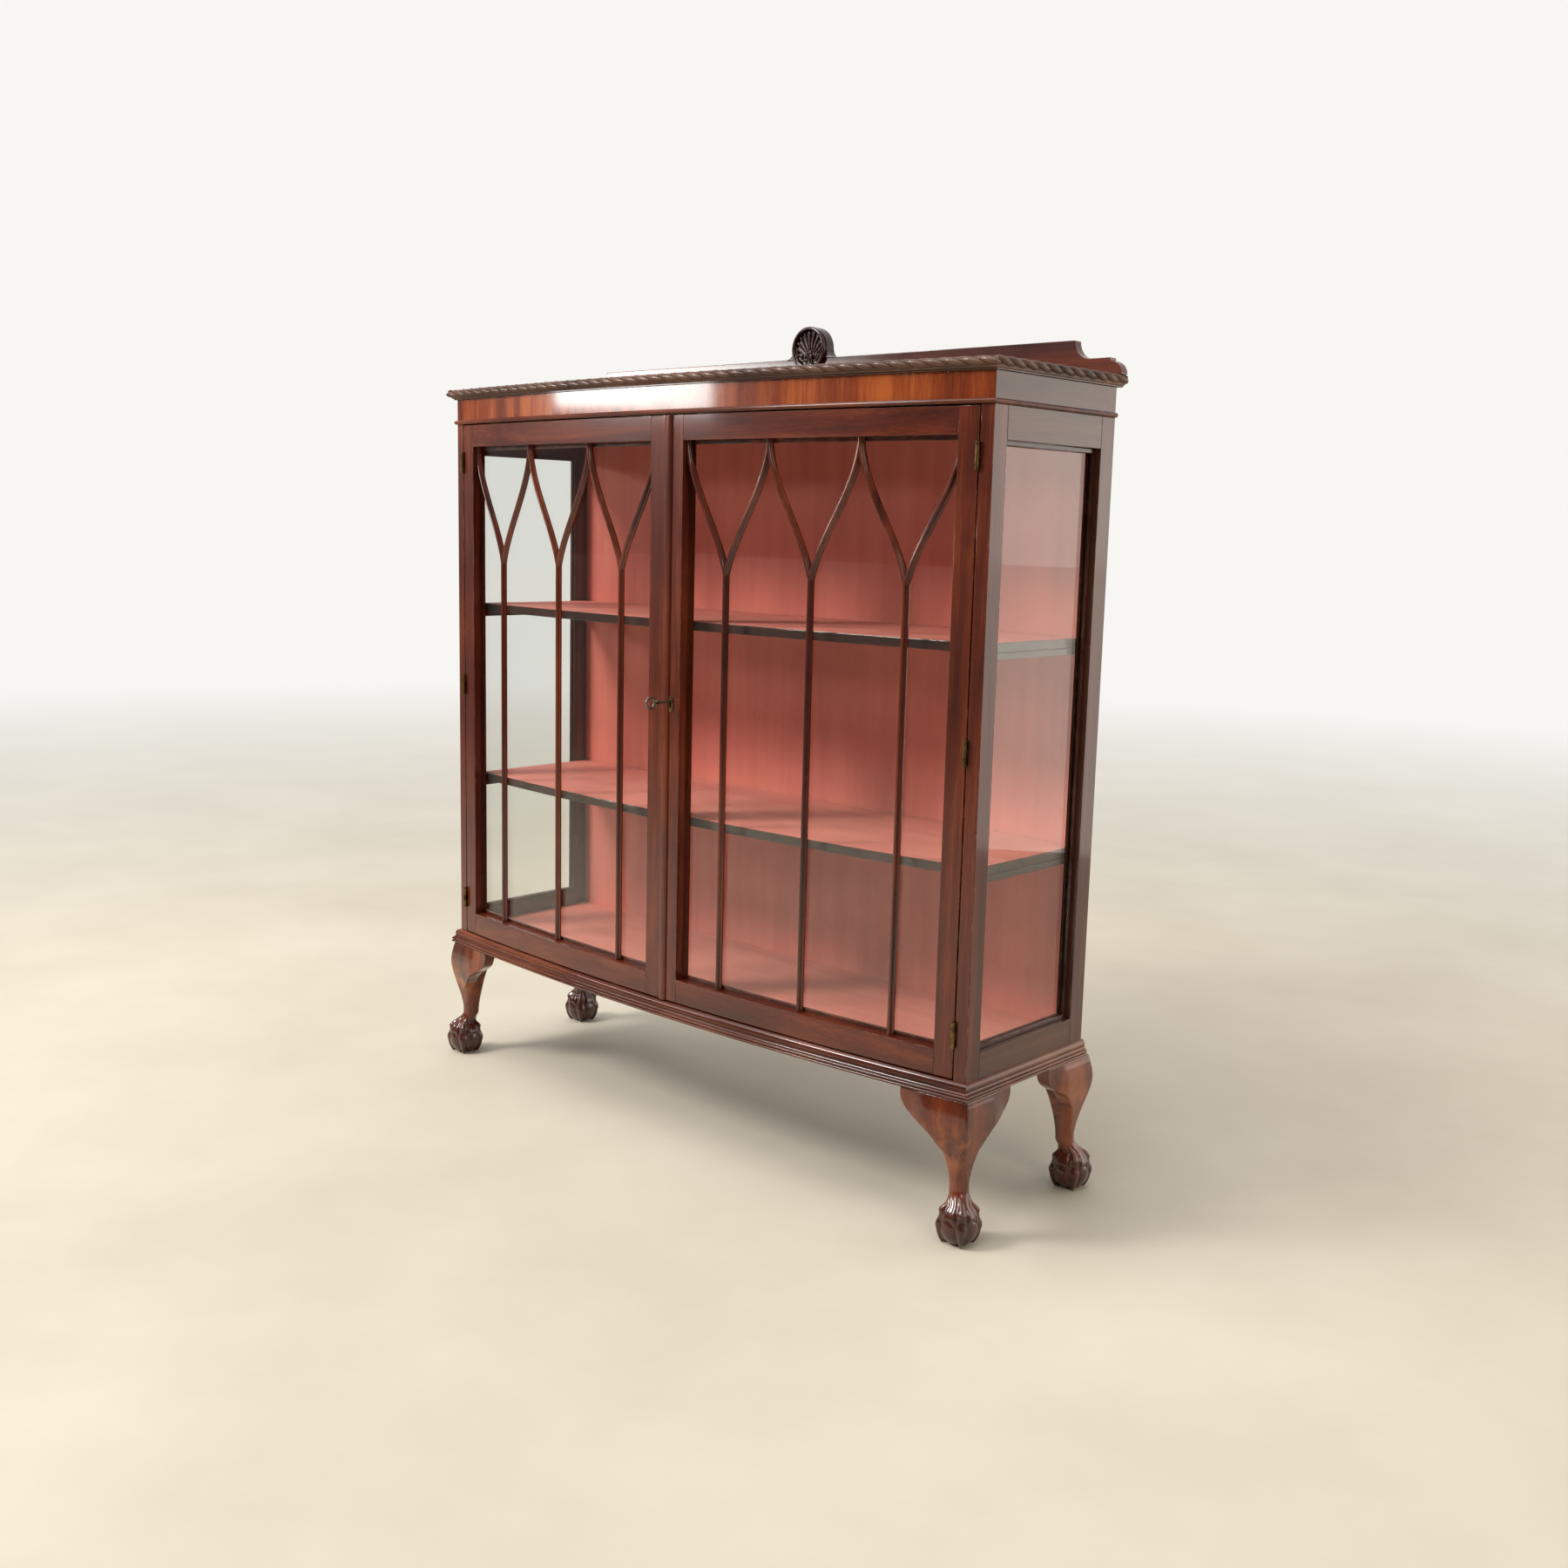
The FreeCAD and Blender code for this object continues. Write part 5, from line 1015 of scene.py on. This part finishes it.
WING = (
    # outline of the cove that joins the tablet to the gallery: out from the middle, up from the centre
    (30, 6), (37, 0), (38.1, -5.7), (41.4, -10.6), (46.3, -13.9), (51.8, -14.9), (51.8, -16), (30, -16),
)
SCROLL = (
    # out from the middle, up from the centre, radius
    (27.2, 4, 1.2), (27.0, -5, 1.7), (25.2, -14, 2.0), (20.0, -22.5, 2.2), (12.8, -27.0, 2.3),
    (6.4, -25.8, 2.1), (2.9, -20.0, 1.8), (2.0, -11.0, 1.4), (1.0, -2.0, 0.9),
)
LEAF = ((20.4, -12.0, 1.0), (18.0, -16.6, 1.7), (13.4, -18.6, 2.0), (9.0, -18.4, 1.0))
TABLET_RADIUS = 36.6
CREST_TOP = 37
TABLET_SUNK = 7.2
HOOP_RADIUS = 33.6
FLUTES = 11
FLUTE_TURN = 15
FAN_RADIUS = 29.6
FAN_DROP = 15
FLUTE_ROWS = (
    # share of the flute's length from its root, radius, depth behind the front
    (0.30, 0.6, 6.6), (0.50, 1.0, 6.4), (0.72, 1.6, 6.0), (0.90, 2.0, 5.6), (1.00, 1.2, 5.8),
)


def shell_crest():
    """Carved tablet: a raised rim that curls into two volutes, with a fan of flutes above them."""
    node = "shell_crest"
    low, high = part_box(node)
    face = low.y / MM
    back = high.y / MM
    centre = high.z / MM - CREST_TOP
    bm = bmesh.new()
    disc = arc((0, centre), (TABLET_RADIUS, TABLET_RADIUS), -52, 232, 64)
    plate(bm, [(x, z) for x, z in disc if z > low.z / MM + 0.4], face + TABLET_SUNK, back)
    for side in (1, -1):
        plate(bm, [(side * x, centre + z) for x, z in WING], face + 6.0, back)
        hoop = arc((0, centre), (HOOP_RADIUS, HOOP_RADIUS), 92, -86, 16)
        limb(bm, [(side * x, face + 3.0, z, 3.0) for x, z in hoop], 3)
        limb(bm, [(side * x, face + 3.6, centre + z, radius) for x, z, radius in SCROLL])
        bead(bm, (side * 6.6, face + 3.0, centre - 12.0), (2.7, 2.8, 4.6))
        bead(bm, (side * 16.2, face + 4.4, centre - 10.6), (3.2, 2.6, 3.6))
        limb(bm, [(side * x, face + 4.2, centre + z, radius) for x, z, radius in LEAF])
    root = centre - FAN_DROP
    for i in range(FLUTES):
        turn = math.radians(90 + (i - FLUTES // 2) * FLUTE_TURN)
        length = FAN_DROP * math.sin(turn) + math.sqrt(FAN_RADIUS ** 2 - (FAN_DROP * math.cos(turn)) ** 2)
        flute = []
        for part, radius, sunk in FLUTE_ROWS:
            out = part * length
            flute.append((out * math.cos(turn), face + sunk, root + out * math.sin(turn), radius))
        limb(bm, flute)
    made = crisped(carved(bm, grain=0.55, passes=1), 60)
    stand("shell_carving", made, "cabinet", [CARVED], (node,))


# ---------------------------------------------------------------- the whole cabinet

def refinish(node, material):
    """A CAD piece kept as it is, with its own finish."""
    materials = frame["nodes"][node].data.materials
    for place in range(len(materials)):
        materials[place] = material


def case():
    """Posts, rails, boards and shelves with eased edges, and the side panes."""
    for side in ("right", "left"):
        eased(f"post_front_{side}", (RED["z"], RUBBED_RED))
        eased(f"post_back_{side}", (FADED["z"], RUBBED_DARK))
        eased(f"side_rail_bottom_{side}", (FADED["y"], RUBBED_DARK))
        eased(f"side_rail_top_{side}", (FADED["y"], RUBBED_DARK))
        eased(f"frieze_{side}", (FADED["y"], RUBBED_DARK), 0.5)
        refinish(f"side_glass_{side}", GLASS)
    eased("frieze_front", (CROSSBAND, RUBBED_RED), 0.5)
    eased("base_rail_front", (RED["x"], RUBBED_RED))
    eased("base_rail_back", (DARK["x"], RUBBED_DARK))
    eased("top_rail_back", (DARK["x"], RUBBED_DARK))
    eased("bottom_board", (CORAL_FLOOR, CORAL_FLOOR, DARK["x"]), facing=(0, 0, -1))
    eased("ceiling_board", (DARK["x"], DARK["x"]))
    eased("top_board", (DARK["x"], RUBBED_DARK), 1.0)
    eased("gallery_board", (RED["x"], RUBBED_RED), 1.0)
    eased("back_boards", (CORAL, DARK["z"], PLAIN_BACK), 1.0, facing=(0, 1, 0))
    eased("side_glazing_beads", (DARK["z"], RUBBED_DARK), 1.2)
    for level in ("lower", "upper"):
        eased(f"shelf_{level}", (DARK["x"], RUBBED_DARK, CORAL_FLOOR), 0.9, facing=(0, 0, 1))
    eased("shelf_cleats", (DARK["y"], RUBBED_DARK), 0.8)
    refinish("cock_bead", BEADED)


def doors():
    """Both doors: frames, beads, bars, panes and hinges, and the bead that covers their meeting."""
    for door in ("right", "left"):
        for stile in ("hinge", "meeting"):
            eased(f"{door}_door_{stile}_stile", (RED["z"], RUBBED_RED), 0.6)
        for rail in ("top", "bottom"):
            eased(f"{door}_door_{rail}_rail", (RED["x"], RUBBED_RED), 0.6)
        eased(f"{door}_door_glazing_beads", (RED["z"], RUBBED_RED), 0.8)
        glazing_bars(door)
        refinish(f"{door}_door_glass", GLASS)
        refinish(f"{door}_door_hinge_leaves", BRASS)
    meeting_bead()


def metalwork():
    """Brass hinges, plate and bolts; steel pins, lock and key."""
    for node in ("post_hinge_leaves", "escutcheon", "flush_bolt_top", "flush_bolt_bottom", "lock_bolt"):
        refinish(node, BRASS)
    for node in ("hinge_pins", "lock_case", "key"):
        refinish(node, STEEL)


def floor():
    """Plain pale floor."""
    mesh = bpy.data.meshes.new("floor")
    half = 40
    corners = [(-half, -half, 0), (half, -half, 0), (half, half, 0), (-half, half, 0)]
    mesh.from_pydata(corners, [], [(0, 1, 2, 3)])
    plane = bpy.data.objects.new("floor", mesh)
    bpy.context.scene.collection.objects.link(plane)
    finish = Finish("pale_floor")
    cloud = finish.noise(finish.place, 1.6, 6.0, 0.6)
    colour = finish.ramp(cloud, [(0.3, (0.50, 0.455, 0.36)), (0.7, (0.585, 0.54, 0.44))])
    away = finish.nodes.new("ShaderNodeVectorMath")
    away.operation = "LENGTH"
    finish.join(finish.place, away.inputs[0])
    seen = finish.nodes.new("ShaderNodeLightPath").outputs["Is Camera Ray"]
    unlit = finish.times(finish.span(away.outputs["Value"], 1.6, 5.0), finish.span(seen, 1.0, 0.0))
    colour = finish.blend(unlit, colour, (0.10, 0.095, 0.085))
    finish.join(colour, finish.surface.inputs["Base Color"])
    finish.surface.inputs["Roughness"].default_value = 0.6
    haze = finish.nodes.new("ShaderNodeEmission")
    haze.inputs["Color"].default_value = ROOM_COLOUR
    mix = finish.nodes.new("ShaderNodeMixShader")
    fade = finish.times(finish.span(away.outputs["Value"], 1.8, 7.5), seen)
    finish.join(fade, mix.inputs["Fac"])
    finish.join(finish.surface.outputs[0], mix.inputs[1])
    finish.join(haze.outputs[0], mix.inputs[2])
    finish.join(mix.outputs[0], finish.nodes["Material Output"].inputs["Surface"])
    mesh.materials.append(finish.material)


camera()
studio()
floor()
case()
rope_edge()
base_edge()
shell_crest()
for place in ("front", "back"):
    leg(place)
doors()
metalwork()
